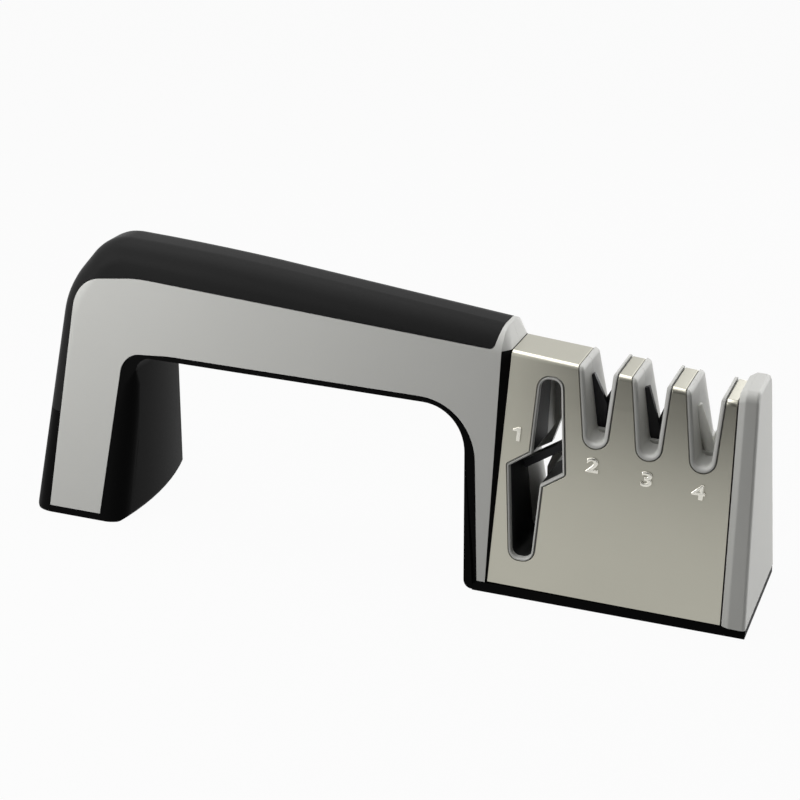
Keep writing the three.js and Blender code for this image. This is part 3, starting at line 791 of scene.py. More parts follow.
@dataclass
class Handle:
    """The handle: black frame, soft grip and grey side shells."""

    form: HandleForm
    head: HeadForm
    joint: float = 0.14  # fine line between the shells and what they sit in
    sink: float = 0.03  # of surfaces that would lie in one another
    leg_depth: float = 30.9
    leg_bulge: float = 4.0  # of the leg's inner face, at its middle
    leg_turn: float = 0.06  # slope of that face across the width
    leg_front_edge: float = 6.0
    leg_rear_edge: float = 1.6
    leg_edge_top: float = 0.4
    leg_edge_taper: Points = ((0.7, 0.92), (0.9, 0.65))  # height and radius of the edges, as shares
    leg_foot_radius: float = 2.0
    side_reach: float = 1.3  # of the half width at the foot, to a place well outside the sides
    gap_undercut: float = 3.0  # of the hand gap's cutter, under the leg
    gap_rings: int = 12  # across the width
    arch_height: float = 49.5
    arch_leg_radius: float = 4.0
    arch_head_radius: float = 13.5
    column_foot: float = 6.2
    column_lean: float = 0.108
    column_toe_radius: float = 2.6
    shell_wall: float = 2.2
    shell_edge: float = 1.0  # round of the panel's edges
    shell_heel_margin: float = 6.5
    shell_heel_lean: float = 0.04
    shell_toe_margin: float = 8.2
    shell_leg_lean: float = 0.0675
    shell_under_margin: float = 1.5
    shell_column_foot: float = 2.3
    shell_column_lean: float = 0.131
    shell_head_radius: float = 18.0
    shell_leg_radius: float = 6.0
    shell_leg_dip: float = 1.2  # of the panel's lower edge at the leg
    shell_dip_start: float = -101.0
    shell_dip_radius: float = 60.0
    shell_heel_radius: float = 9.0
    shell_heel_top: float = 69.2
    shell_crown: float = -113.0  # where the panel's upper edge starts to fall towards the heel
    shell_crown_radius: float = 40.0
    shell_top_at_seam: float = 66.2
    shell_top_rise: float = 0.0484
    shell_foot: float = 2.1
    shell_parting: float = 0.02  # of each shell, from the middle plane
    shell_steps: int = 4  # across the panel's edges
    collar_root: float = 0.4  # of the chamfer, in the panel
    collar_side: float = 5.3
    collar_crest: float = 4.3
    collar_foot: float = 0.0  # below the head's top, where the chamfer turns black: the black strip beside the head is painted shade
    grip_wall: float = 2.5
    grip_tail: float = 30.0
    grip_corner: float = 1.6  # round of the grip's corner at the collar
    grip_break: float = 0.4
    frame_break: float = 0.45
    bulkhead_root: float = 0.5  # of the bulkhead and the rail, in the column
    base_top: float = 2.3
    base_lap: float = 0.5  # of what stands on the base, into it
    base_inset: float = 0.2
    base_half: float = 24.0
    base_flare: float = 0.014
    base_draft: float = 0.45
    base_start: float = -3.6
    rail_start: float = 0.6
    rail_lap: float = 0.3  # of the rail, into the base
    rail_length: float = 55.0
    rail_height: float = 4.0
    rail_foot: float = 5.0
    rail_head: float = 6.5
    pad_corner: float = 2.5
    pad_ribs: int = 7
    pad_groove: float = 0.5
    pad_break: float = 0.12

    @property
    def leg_face(self) -> float:
        """x of the leg's inner face."""
        return self.leg_depth - self.form.length

    @property
    def painted_shade_top(self) -> float:
        """Height up to which the chamfer beside the head is the frame's black, a dark strip that stands in
        for shade on the collar.
        """
        return self.head.top_at_seam - self.collar_foot

    def column(self, z: float) -> float:
        """x of the column's face under the arch."""
        return -self.column_foot - self.column_lean * z

    def shell_top(self, x: float) -> float:
        """Height of the panel's upper edge."""
        return self.shell_top_at_seam - self.shell_top_rise * x

    def shell_heel(self, z: float) -> float:
        """x of the panel's edge along the back of the leg."""
        return self.shell_heel_margin - self.form.length + self.shell_heel_lean * z

    def shell_toe(self, z: float) -> float:
        """x of the panel's edge along the leg's inner face."""
        return self.leg_face - self.shell_toe_margin + self.shell_leg_lean * z

    def shell_column(self, z: float) -> float:
        """x of the panel's edge along the column."""
        return -self.shell_column_foot - self.shell_column_lean * z

    @property
    def reach(self) -> float:
        """y well outside the handle's sides."""
        return self.side_reach * self.form.base_half

    def leg_inner(self, y: float) -> float:
        """x of the leg's inner face away from the middle."""
        return self.leg_face - self.leg_bulge * (y / self.reach) ** 2 - self.leg_turn * y

    def arch(self, leg: float) -> list[Corner]:
        """Side view of the hand gap.

        Args:
            leg: x of the leg's inner face.

        Returns:
            The corners.
        """
        toe = -self.column_toe_radius
        low = self.form.clearance
        heel = leg - self.gap_undercut
        return [
            (leg, low - self.form.skim, self.leg_foot_radius),
            (heel, low - self.form.skim, 0.0),
            (heel, -WIDE, 0.0),
            (toe, -WIDE, 0.0),
            (toe, low, 0.0),
            (self.column(low), low, self.column_toe_radius),
            (self.column(self.arch_height), self.arch_height, self.arch_head_radius),
            (leg, self.arch_height, self.arch_leg_radius),
        ]

    def shell(self) -> list[Corner]:
        """Side view of a side shell with its part of the collar.

        Returns:
            The corners.
        """
        under = self.arch_height + self.shell_under_margin
        crest = self.form.top(0) + self.form.edge_radius
        foot = self.head.foot
        heel_top = self.shell_heel_top
        return [
            (self.shell_heel(self.shell_foot), self.shell_foot, 0.0),
            (self.shell_toe(self.shell_foot), self.shell_foot, 0.0),
            (self.shell_toe(under), under - self.shell_leg_dip, self.shell_leg_radius),
            (self.shell_dip_start, under, self.shell_dip_radius),
            (self.shell_column(under), under, self.shell_head_radius),
            (self.shell_column(foot), foot, 0.0),
            (self.form.end(foot) - self.sink, foot, 0.0),
            (self.form.end(crest) - self.sink, crest, 0.0),
            (-self.collar_crest, crest, 0.0),
            (-self.collar_crest, self.form.top(-self.collar_crest), 0.0),
            (-self.collar_side, self.shell_top(-self.collar_side), self.grip_corner),
            (self.shell_crown, self.shell_top(self.shell_crown), self.shell_crown_radius),
            (self.shell_heel(heel_top), heel_top, self.shell_heel_radius),
        ]

    def grip(self) -> list[Corner]:
        """Side view of the grip, outside the shell and above its tail.

        Returns:
            The corners.
        """
        edge = grow(self.shell(), self.joint)
        crest, collar, crown, heel = edge[-4:]
        far = self.form.crest + WIDE
        return [
            (self.shell_heel(self.grip_tail) - self.joint, self.grip_tail, 0.0),
            heel,
            crown,
            collar,
            crest,
            (crest[0], far, 0.0),
            (-self.form.length - WIDE, far, 0.0),
            (-self.form.length - WIDE, self.grip_tail, 0.0),
        ]

    def collar_end(self, name: str, steps: Sequence[tuple[float, float]]) -> bpy.types.Object:
        """The chamfered end of the handle, from its own form down to the head's.

        Args:
            name: The piece's name.
            steps: Place past the form's end, and inset, of each ring before the last one.

        Returns:
            The body.
        """
        form = self.form
        foot = self.base_top - self.base_lap
        rings = [
            loaf(
                lambda z, past=past: form.end(z) + past,
                lambda z, inset=inset: form.half(form.end(z), z) - inset,
                form.top(form.end(form.crest)) - inset,
                form.edge_radius - inset,
                foot,
            )
            for past, inset in steps
        ]
        face = loaf(self.head.seam, self.head.half, self.head.top(0), self.head.bend, foot)
        return loft(name, [*rings, face])

    def skin(self, corners: Sequence[Corner], wall: float) -> bpy.types.Object:
        """A cutter for the handle's skin within a side view.

        Args:
            corners: The side view's corners.
            wall: The skin's thickness.

        Returns:
            The cutter.
        """
        cutter = through("skin", corners)
        combine(cutter, self.form.solid("core", wall, CLEAR), Join.CUT)
        return cutter

    def hand_gap(self) -> bpy.types.Object:
        """Cutter for the hand gap, whose leg side follows the leg's bulge.

        Returns:
            The cutter.
        """
        rings = []
        for k in range(self.gap_rings + 1):
            y = self.reach * (2 * k / self.gap_rings - 1)
            rings.append([Vector((x, y, z)) for x, z in trace(self.arch(self.leg_inner(y)))])
        return loft("hand_gap", rings)

    def leg_round(self, side: Side) -> bpy.types.Object:
        """Cutter that rounds one of the leg's inner edges, less towards the arch.

        Args:
            side: LEFT for the front edge.

        Returns:
            The cutter.
        """
        arc = [math.pi / 2 * k / ARC_STEPS for k in range(ARC_STEPS + 1)]
        past = 0.5  # of the radius, outside the leg's faces
        plan = [(math.sin(a) - 1, math.cos(a) - 1) for a in arc] + [(past, -1), (past, past), (-1, past)]
        rings = []
        top = self.arch_height - self.arch_leg_radius
        edge = self.leg_front_edge if side is Side.LEFT else self.leg_rear_edge
        taper = [(height * top, share * edge) for height, share in self.leg_edge_taper]
        for z, radius in ((-edge, edge), *taper, (top, self.leg_edge_top)):
            face = self.leg_inner(side.value * (self.form.half(self.leg_face, z) - radius))
            ring = []
            for u, v in plan:
                x = face + u * radius
                ring.append(Vector((x, side.value * (self.form.half(x, z) + v * radius), z)))
            rings.append(ring)
        return loft("leg_round", rings)

    def base_side(self, x: float, z: float) -> float:
        """y of the base's front edge."""
        return self.base_draft * z + self.base_flare * x - self.base_half

    def build_frame(self, pads: Sequence[tuple[Vector, Vector]]) -> bpy.types.Object:
        """The black core: leg, beam, column, bulkhead and base.

        Args:
            pads: The lowest and highest corner of each pad that is let in underneath.

        Returns:
            The frame.
        """
        frame = self.form.solid("handle_frame_moulding", 0.0)
        combine(frame, self.hand_gap(), Join.CUT)
        for side in Side:
            combine(frame, self.leg_round(side), Join.CUT)
        combine(frame, self.skin(grow(self.shell(), self.joint), self.shell_wall + self.joint), Join.CUT)
        combine(frame, self.skin(grow(self.grip(), self.joint), self.grip_wall + self.joint), Join.CUT)
        plug = self.shell_wall + 2 * self.joint
        steps = [(-self.bulkhead_root, plug), (self.sink, plug), (self.sink, self.sink)]
        bulkhead = self.collar_end("bulkhead", steps)
        # below this height the frame's black chamfer beside the head is painted shade on the collar
        trim(bulkhead, (0, 0, self.painted_shade_top - self.joint), (0, 0, 1))
        combine(frame, bulkhead, Join.ADD)
        base_end = self.head.length - self.base_inset
        low = self.form.clearance
        outline = [
            (self.base_start, low, 0.0),
            (base_end, low, 0.0),
            (base_end, self.base_top, 0.0),
            (self.base_start, self.base_top, 0.0),
        ]
        base = slab("base", outline, self.base_side, lambda x, z: -self.base_side(x, z))
        combine(frame, base, Join.ADD)
        combine(frame, self.rail(), Join.ADD)
        room = Vector((self.joint, self.joint, self.joint))
        below = Vector((0, 0, CLEAR))
        for low_corner, high_corner in pads:
            combine(frame, block("pad_seat", low_corner - room - below, high_corner + room), Join.CUT)
        soften(frame, self.frame_break)
        return frame

    def rail(self) -> bpy.types.Object:
        """The dovetail rail on the base that the head slides on.

        Returns:
            The rail.
        """
        low, high = self.base_top - self.rail_lap, self.base_top + self.rail_height
        section = [
            (-self.rail_foot, low),
            (self.rail_foot, low),
            (self.rail_head, high),
            (-self.rail_head, high),
        ]
        ends = (-self.bulkhead_root, self.rail_start + self.rail_length)
        return loft("rail", [[Vector((x, y, z)) for y, z in section] for x in ends])

    def build_grip(self) -> bpy.types.Object:
        """The soft saddle over the handle and down the back of the leg.

        Returns:
            The grip.
        """
        grip = self.form.solid("grip_cover_skin", 0.0)
        combine(grip, through("region", self.grip()), Join.KEEP)
        combine(grip, self.form.solid("core", self.grip_wall, CLEAR), Join.CUT)
        soften(grip, self.grip_break)
        return grip

    def build_shell(self) -> bpy.types.Object:
        """The front panel with its half of the collar.

        Returns:
            The shell.
        """
        shell = self.form.solid("side_shell_front_panel", 0.0)
        combine(shell, through("region", self.shell()), Join.KEEP)
        combine(shell, self.form.solid("core", self.shell_wall, CLEAR), Join.CUT)
        collar = self.collar_end("collar", [(-self.collar_root, self.sink), (0.0, self.sink)])
        # the grey collar stops where the frame's black chamfer, painted shade, takes over
        trim(collar, (0, 0, self.painted_shade_top), (0, 0, -1))
        combine(shell, collar, Join.ADD)
        trim(shell, (0, -self.shell_parting, 0), (0, 1, 0))
        soften(shell, self.shell_edge, self.shell_steps)
        return shell

    def build_pad(self, name: str, low: Vector, high: Vector) -> bpy.types.Object:
        """A grooved rubber pad.

        Args:
            name: The piece's name.
            low: The lowest corner of its place, in millimetres from the seam.
            high: The highest corner.

        Returns:
            The pad.
        """
        sides = ((low.x, low.y), (high.x, low.y), (high.x, high.y), (low.x, high.y))
        plan = [(x, y, self.pad_corner) for x, y in sides]
        pad = loft(name, [[Vector((x, y, z)) for x, y in trace(plan)] for z in (low.z, high.z)])
        for k in range(1, self.pad_ribs):
            y = low.y + (high.y - low.y) * k / self.pad_ribs
            groove = block(
                "groove",
                (low.x - CLEAR, y - self.pad_groove, low.z - CLEAR),
                (high.x + CLEAR, y + self.pad_groove, low.z + self.pad_groove),
            )
            combine(pad, groove, Join.CUT)
        soften(pad, self.pad_break, 2)
        return pad

    def build(self, shop: Workshop) -> None:
        """Models the handle's pieces and settles them in the scene.

        Args:
            shop: Where pieces settle.
        """
        seam = Vector((shop.seam, 0, 0))
        nodes = ("foot_pad", "base_pad_inner", "base_pad_outer")
        places = [tuple((corner - seam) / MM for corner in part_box(node)) for node in nodes]
        shop.settle(self.build_frame(places), BLACK_ABS, Body.HANDLE, "handle_frame")
        shop.settle(self.build_grip(), SOFT_GRIP, Body.HANDLE, "grip_cover")
        front = self.build_shell()
        rear = mirrored(front, "side_shell_rear_panel")
        shop.settle(front, GREY_ABS, Body.HANDLE, "side_shell_front")
        shop.settle(rear, GREY_ABS, Body.HANDLE, "side_shell_rear")
        for node, (low, high) in zip(nodes, places):
            shop.settle(self.build_pad(node + "_rubber", low, high), PAD_RUBBER, Body.HANDLE, node)


@dataclass
class Head:
    """The sharpening head: steel cover, slotted housing, end cap and scissor insert."""

    form: HeadForm
    steel: float = 0.6
    steel_start: float = 0.2
    steel_break: float = 0.16
    inside_past: float = 3.0  # of the cutter for the cover's inside, past the seam
    housing_start: float = 0.5
    housing_end: float = 0.3  # from the joint with the end cap
    housing_gap: float = 0.1  # under the steel
    housing_parting: float = 0.05  # of each half, from the middle plane
    slot_count: int = 3
    slot_start: float = 25.75
    slot_pitch: float = 14.87
    slot_bottom: float = 43.5
    slot_step: float = 0.85
    slot_half: float = 3.44
    slot_flare: float = 0.105
    slot_lean: float = 0.085
    slot_radius: float = 3.7
    lip_gap: float = 0.38
    lip: float = 1.15
    scissor_lip: float = 0.55
    lip_proud: float = 0.4
    lip_round: float = 0.95
    lip_steps: int = 5  # across a lip's round
    lip_arc_steps: int = 10  # along a lip's corners
    mouth_past: float = 4.0  # of a mouth's cutter, outside the lips
    scissor_round: float = 0.45
    tooth_drop: float = 0.45  # of the lips at the teeth, towards the slot
    tooth_round: float = 1.6
    tooth_inset: float = 0.05  # of the rolled top, from the edge of the steel
    scissor_x: float = 10.1
    scissor_z: float = 35.5
    scissor_half: float = 2.6
    scissor_tip: float = 4.75
    scissor_shoulder: float = 8.6
    scissor_reach: float = 25.6
    scissor_step: float = 4.5
    scissor_heel: float = 0.4
    scissor_radius: float = 3.4
    scissor_nose: float = 0.8
    liner_wall: float = 1.2
    liner_setback: float = 1.6
    liner_back: float = 2.0
    liner_gap: float = 0.1  # round the liner, in its pocket
    liner_break: float = 0.15
    guide_setback: float = 0.8
    guide_depth: float = 3.0
    guide_upper: Points = ((-7.5, -5.5), (-2.6, -2.2), (1.1, 9.6))  # free edge, from the slot's middle
    guide_lower: Points = ((2.6, 0.0), (-1.3, -3.6), (-3.9, -10.8))
    groove_section: Points = ((-5.6, 1.0), (5.6, 1.0), (6.8, 6.6), (-6.8, 6.6))  # y and z, round the rail
    groove_ends: tuple[float, float] = (-1.0, 56.5)
    cap_proud: float = 1.0
    cap_chamfer: float = 1.8  # towards the steel
    cap_break: float = 0.2  # round of the chamfer's edges
    cap_top_proud: float = 3.0
    cap_gap: float = 0.4
    cap_radius: float = 2.6
    cap_edge: float = 1.0
    cap_steps: int = 6  # across that edge
    sill_height: float = 0.9
    sill_depth: float = 1.6
    sill_bite: float = 0.3  # into the slot's walls
    pocket_half: float = 2.3
    ceiling: float = 76.0  # above the head, for cutters
    digits: dict[str, tuple[float, float]] = field(
        default_factory=lambda: {"1": (4.1, 44.3), "2": (25.7, 39.0), "3": (40.9, 37.7), "4": (55.25, 36.6)}
    )
    digit_size: float = 5.3
    digit_width: float = 1.3  # wider than the type's own shape
    digit_weight: float = 0.05
    digit_rise: float = 0.7
    digit_merge: float = 0.01  # closest points of their type that stay apart
    digit_bevel: float = 0.2
    digit_break: float = 0.12  # of the number one's edges
    digit_height: float = 3.8
    digit_stem: float = 1.1
    digit_flag: float = 1.3  # of the number one

    def slot_floor(self, i: int) -> float:
        """Height of a knife slot's bottom."""
        return self.slot_bottom - self.slot_step * i

    def slot_middle(self, i: int, rise: float) -> float:
        """x of a knife slot's middle at a height above its bottom."""
        return self.slot_start + self.slot_pitch * i - self.slot_lean * rise

    def slot(self, i: int) -> list[Corner]:
        """Side view of a knife slot where the steel is cut away.

        Args:
            i: The slot.

        Returns:
            The corners.
        """
        x, z = self.slot_middle(i, 0.0), self.slot_floor(i)
        rise = self.ceiling - z
        middle = self.slot_middle(i, rise)
        half = self.slot_half + self.slot_flare * rise
        return [
            (middle - half, self.ceiling, 0.0),
            (x - self.slot_half, z, self.slot_radius),
            (x + self.slot_half, z, self.slot_radius),
            (middle + half, self.ceiling, 0.0),
        ]

    def scissor(self) -> list[Corner]:
        """Side view of the scissor slot where the steel is cut away: a lobe and its half turn.

        Returns:
            The corners.
        """
        lobe = [
            (self.scissor_half, -self.scissor_step, 0.0),
            (self.scissor_shoulder, -self.scissor_heel, self.scissor_nose),
            (self.scissor_tip, self.scissor_reach, self.scissor_radius),
            (-self.scissor_half, self.scissor_reach, self.scissor_radius),
        ]
        corners = lobe + [(-u, -v, radius) for u, v, radius in lobe]
        return [(self.scissor_x + u, self.scissor_z + v, radius) for u, v, radius in corners]

    def clear_scissor(self) -> list[Corner]:
        """Side view of the scissor slot's clear opening."""
        return grow(self.scissor(), -self.lip_gap - self.scissor_lip)

    def guide_face(self, x: float, z: float) -> float:
        """y of the guides' rear face."""
        return self.form.half(z) - self.guide_setback

    def guide(self, edge: Points, reach: float) -> bpy.types.Object:
        """A guide wall in the rear of the scissor slot.

        Args:
            edge: Its free edge in the side view, from the slot's middle.
            reach: Height of its end.

        Returns:
            The wall.
        """
        outline = [*edge, (edge[-1][0], reach), (edge[0][0], reach)]
        placed = [(self.scissor_x + u, self.scissor_z + v, 0.0) for u, v in outline]
        return slab("guide", placed, lambda x, z: self.guide_face(x, z) - self.guide_depth, self.guide_face)

    def cutouts(self) -> list[list[Corner]]:
        """Side views of all the slots in the steel, the scissor slot first."""
        return [self.scissor(), *(self.slot(i) for i in range(self.slot_count))]

    def clear_slot(self, i: int) -> list[Corner]:
        """Side view of a knife slot's clear opening, with its walls rolled over at the top.

        Args:
            i: The slot.

        Returns:
            The corners.
        """
        left_top, left, right, right_top = grow(self.slot(i), -self.lip_gap - self.lip)
        reach = self.lip + self.lip_gap - self.tooth_inset
        shoulders = []
        for (foot_x, foot_z, _), (high_x, high_z, _), side in ((left, left_top, -1), (right, right_top, 1)):
            top = self.form.top(foot_x) + self.lip_proud
            z = top - self.tooth_drop
            x = foot_x + (high_x - foot_x) * (z - foot_z) / (high_z - foot_z)
            outer = x + side * reach
            shoulders.append([(outer, self.ceiling, 0.0), (outer, top, 0.0), (x, z, self.tooth_round)])
        return [*shoulders[0], left, right, *reversed(shoulders[1])]

    def mouth(self, name: str, corners: Sequence[Corner], round_lip: float) -> bpy.types.Object:
        """Cutter for a clear opening whose lips are rounded at the front and the rear.

        Args:
            name: The piece's name.
            corners: Side view of the clear opening.
            round_lip: Radius of the lips.

        Returns:
            The cutter.
        """
        flares = [(round_lip, -self.mouth_past)]
        for k in range(self.lip_steps + 1):
            angle = math.pi / 2 * k / self.lip_steps
            flares.append((round_lip * (1 - math.sin(angle)), round_lip * (1 - math.cos(angle))))
        rings = []
        for side, layers in ((-1, flares), (1, flares[::-1])):
            for flare, depth in layers:
                points = trace(grow(corners, flare), self.lip_arc_steps)
                rings.append(
                    [Vector((x, side * (self.form.half(z) + self.lip_proud - depth), z)) for x, z in points]
                )
        return loft(name, rings)

    def steel_edge(self, z: float) -> float:
        """x of the steel's edge beside the handle."""
        return self.form.seam(z) + self.steel_start

    def build_cover(self) -> bpy.types.Object:
        """The folded sheet over the front, top and back.

        Returns:
            The cover.
        """
        cover = self.form.solid("steel_cover_sheet", 0.0, self.steel_edge, self.form.joint)
        inside = self.form.solid(
            "inside", self.steel, lambda z: -self.inside_past, lambda z: self.form.length, 0.0
        )
        combine(cover, inside, Join.CUT)
        for corners in self.cutouts():
            combine(cover, through("slot", corners), Join.CUT)
        soften(cover, self.steel_break, 2)
        return cover

    def sill(self, i: int, side: Side) -> bpy.types.Object:
        """A low sill across a knife slot, in front of its abrasives or behind them.

        Args:
            i: The slot.
            side: LEFT for the front.

        Returns:
            The sill.
        """
        _, left, right, _ = grow(self.slot(i), -self.lip_gap - self.lip)
        near, far = sorted((side.value * self.pocket_half, side.value * (self.pocket_half + self.sill_depth)))
        low = (left[0] - self.sill_bite, near, left[1] - CLEAR)
        high = (right[0] + self.sill_bite, far, left[1] + self.sill_height)
        return block("sill", low, high)

    def housing_solid(self, name: str, margin: float) -> bpy.types.Object:
        """A body of the head's form, as long as the housing.

        Args:
            name: The piece's name.
            margin: How far it is taken in.

        Returns:
            The body.
        """
        return self.form.solid(
            name, margin, lambda z: self.housing_start, lambda z: self.form.joint(z) - self.housing_end
        )

    def build_housing(self) -> bpy.types.Object:
        """The whole plastic body of the head with its slots, before it is split in two.

        Returns:
            The body.
        """
        body = self.housing_solid("housing", self.steel + self.housing_gap)
        for corners in self.cutouts():
            lip = self.housing_solid("lip", -self.lip_proud)
            combine(lip, through("region", grow(corners, -self.lip_gap)), Join.KEEP)
            combine(body, lip, Join.ADD)
        combine(body, self.mouth("scissor_mouth", self.clear_scissor(), self.scissor_round), Join.CUT)
        for edge, reach in ((self.guide_upper, self.scissor_reach), (self.guide_lower, -self.scissor_reach)):
            combine(body, self.guide(edge, reach), Join.ADD)
        for i in range(self.slot_count):
            combine(body, self.mouth("knife_mouth", self.clear_slot(i), self.lip_round), Join.CUT)
            for side in Side:
                combine(body, self.sill(i, side), Join.ADD)
        rings = [[Vector((x, y, z)) for y, z in self.groove_section] for x in self.groove_ends]
        combine(body, loft("groove", rings), Join.CUT)
        combine(body, self.liner("liner_pocket", self.liner_gap), Join.CUT)
        return body

    def liner(self, name: str, margin: float) -> bpy.types.Object:
        """The scissor slot's liner before it is hollowed.

        Args:
            name: The piece's name.
            margin: How far it is grown.

        Returns:
            The body.
        """
        return slab(
            name,
            grow(self.clear_scissor(), self.liner_wall + margin),
            lambda x, z: self.liner_setback - margin - self.form.half(z),
            lambda x, z: self.liner_back + margin,
        )

    def build_liner(self) -> bpy.types.Object:
        """The black liner in the front of the scissor slot.

        Returns:
            The liner.
        """
        liner = self.liner("scissor_liner_moulding", 0.0)
        combine(liner, through("opening", self.clear_scissor()), Join.CUT)
        soften(liner, self.liner_break, 2)
        return liner

    def cap_start(self, z: float) -> float:
        """x of the end cap's edge beside the steel."""
        return self.form.joint(z) + self.cap_gap

    def build_cap(self) -> bpy.types.Object:
        """The moulded cap at the end of the head, with rounded edges.

        Returns:
            The cap.
        """
        top = self.form.top(self.form.length - self.form.cap_thickness) + self.cap_top_proud
        layers = []
        for share in (0.0, self.cap_break, 1 - self.cap_break, 1.0):
            layers.append((self.cap_start, self.cap_chamfer * share, self.cap_proud * (1 - share)))
        layers.append((self.cap_start, self.cap_chamfer * (1 + self.cap_break), 0.0))
        for k in range(self.cap_steps + 1):
            angle = math.pi / 2 * k / self.cap_steps
            layers.append(
                (self.form.face, self.cap_edge * (math.sin(angle) - 1), self.cap_edge * (1 - math.cos(angle)))
            )
        rings = [
            loaf(
                lambda z, plane=plane, shift=shift: plane(z) + shift,
                lambda z, inset=inset: self.form.half(z) + self.cap_proud - inset,
                top - inset,
                self.cap_radius,
                self.form.foot,
            )
            for plane, shift, inset in layers
        ]
        return loft("end_cap_moulding", rings)

    def build_one(self, x: float, z: float) -> bpy.types.Object:
        """The raised number one, a stem with a flag.

        Args:
            x: Its middle along the length.
            z: Its middle's height.

        Returns:
            The number as a mesh.
        """
        stem, high, flag = self.digit_stem / 2, self.digit_height / 2, self.digit_flag
        outline = [
            (-stem, -high, 0.0),
            (stem, -high, 0.0),
            (stem, high, 0.0),
            (-stem, high, 0.0),
            (-stem - flag, high - flag / 2, 0.0),
            (-stem - flag, high - flag / 2 - stem, 0.0),
            (-stem, high - 2 * stem, 0.0),
        ]
        placed = [(x + u, z + v, radius) for u, v, radius in outline]
        number = slab(
            "slot_number_1",
            placed,
            lambda x, z: self.form.front(x, z) - self.digit_rise / 2 - self.digit_break,
            lambda x, z: self.form.front(x, z) + self.steel / 2,
        )
        soften(number, self.digit_break)
        return number

    def build_digit(self, digit: str, x: float, z: float) -> bpy.types.Object:
        """A raised number on the front of the steel.

        Args:
            digit: The number.
            x: Its middle along the length.
            z: Its middle's height.

        Returns:
            The number as a mesh.
        """
        if digit == "1":
            return self.build_one(x, z)
        bpy.ops.object.select_all(action="DESELECT")
        bpy.ops.object.text_add()
        text = bpy.context.object
        text.name = "slot_number_" + digit
        text.data.body = digit
        text.data.align_x = "CENTER"
        text.data.align_y = "CENTER"
        text.data.size = self.digit_size
        text.data.offset = self.digit_weight
        text.data.extrude = self.digit_rise / 2
        text.data.bevel_depth = self.digit_bevel
        text.data.bevel_resolution = 3
        bpy.ops.object.convert(target="MESH")
        number = bpy.context.object
        with editing(number):
            bpy.ops.mesh.remove_doubles(threshold=self.digit_merge)
        number.rotation_euler = (math.pi / 2 - math.atan(self.form.draft), 0, 0)
        number.location = (x, self.form.front(x, z), z)
        number.scale = (self.digit_width, 1, 1)
        bpy.ops.object.transform_apply(location=True, rotation=True, scale=True)
        return number

    def build(self, shop: Workshop) -> None:
        """Models the head's pieces and settles them in the scene.

        Args:
            shop: Where pieces settle.
        """
        shop.settle(self.build_cover(), STAINLESS, Body.HEAD, "steel_cover")
        front = self.build_housing()
        rear = duplicate(front, "housing_rear_moulding")
        front.name = "housing_front_moulding"
        trim(front, (0, -self.housing_parting, 0), (0, 1, 0))
        trim(rear, (0, self.housing_parting, 0), (0, -1, 0))
        shop.settle(front, GREY_ABS, Body.HEAD, "housing_front")
        shop.settle(rear, GREY_ABS, Body.HEAD, "housing_rear")
        shop.settle(self.build_cap(), GREY_ABS, Body.HEAD, "end_cap")
        # the liner's colour, lighter than the black ABS, is painted light inside the scissor slot
        shop.settle(self.build_liner(), LINER_ABS_PAINTED_LIGHT, Body.HEAD, "scissor_liner")
        # the raised numbers' lighter steel is a painted glint
        for digit, (x, z) in self.digits.items():
            shop.settle(self.build_digit(digit, x, z), POLISHED_WITH_PAINTED_GLINT, Body.HEAD)


@dataclass(frozen=True)
class Plate:
    """A crossed pair of plates: where their edges cross, how high they reach and how far they lean."""

    name: str
    finish: Finish
    valley: float
    height: float
    angle: float


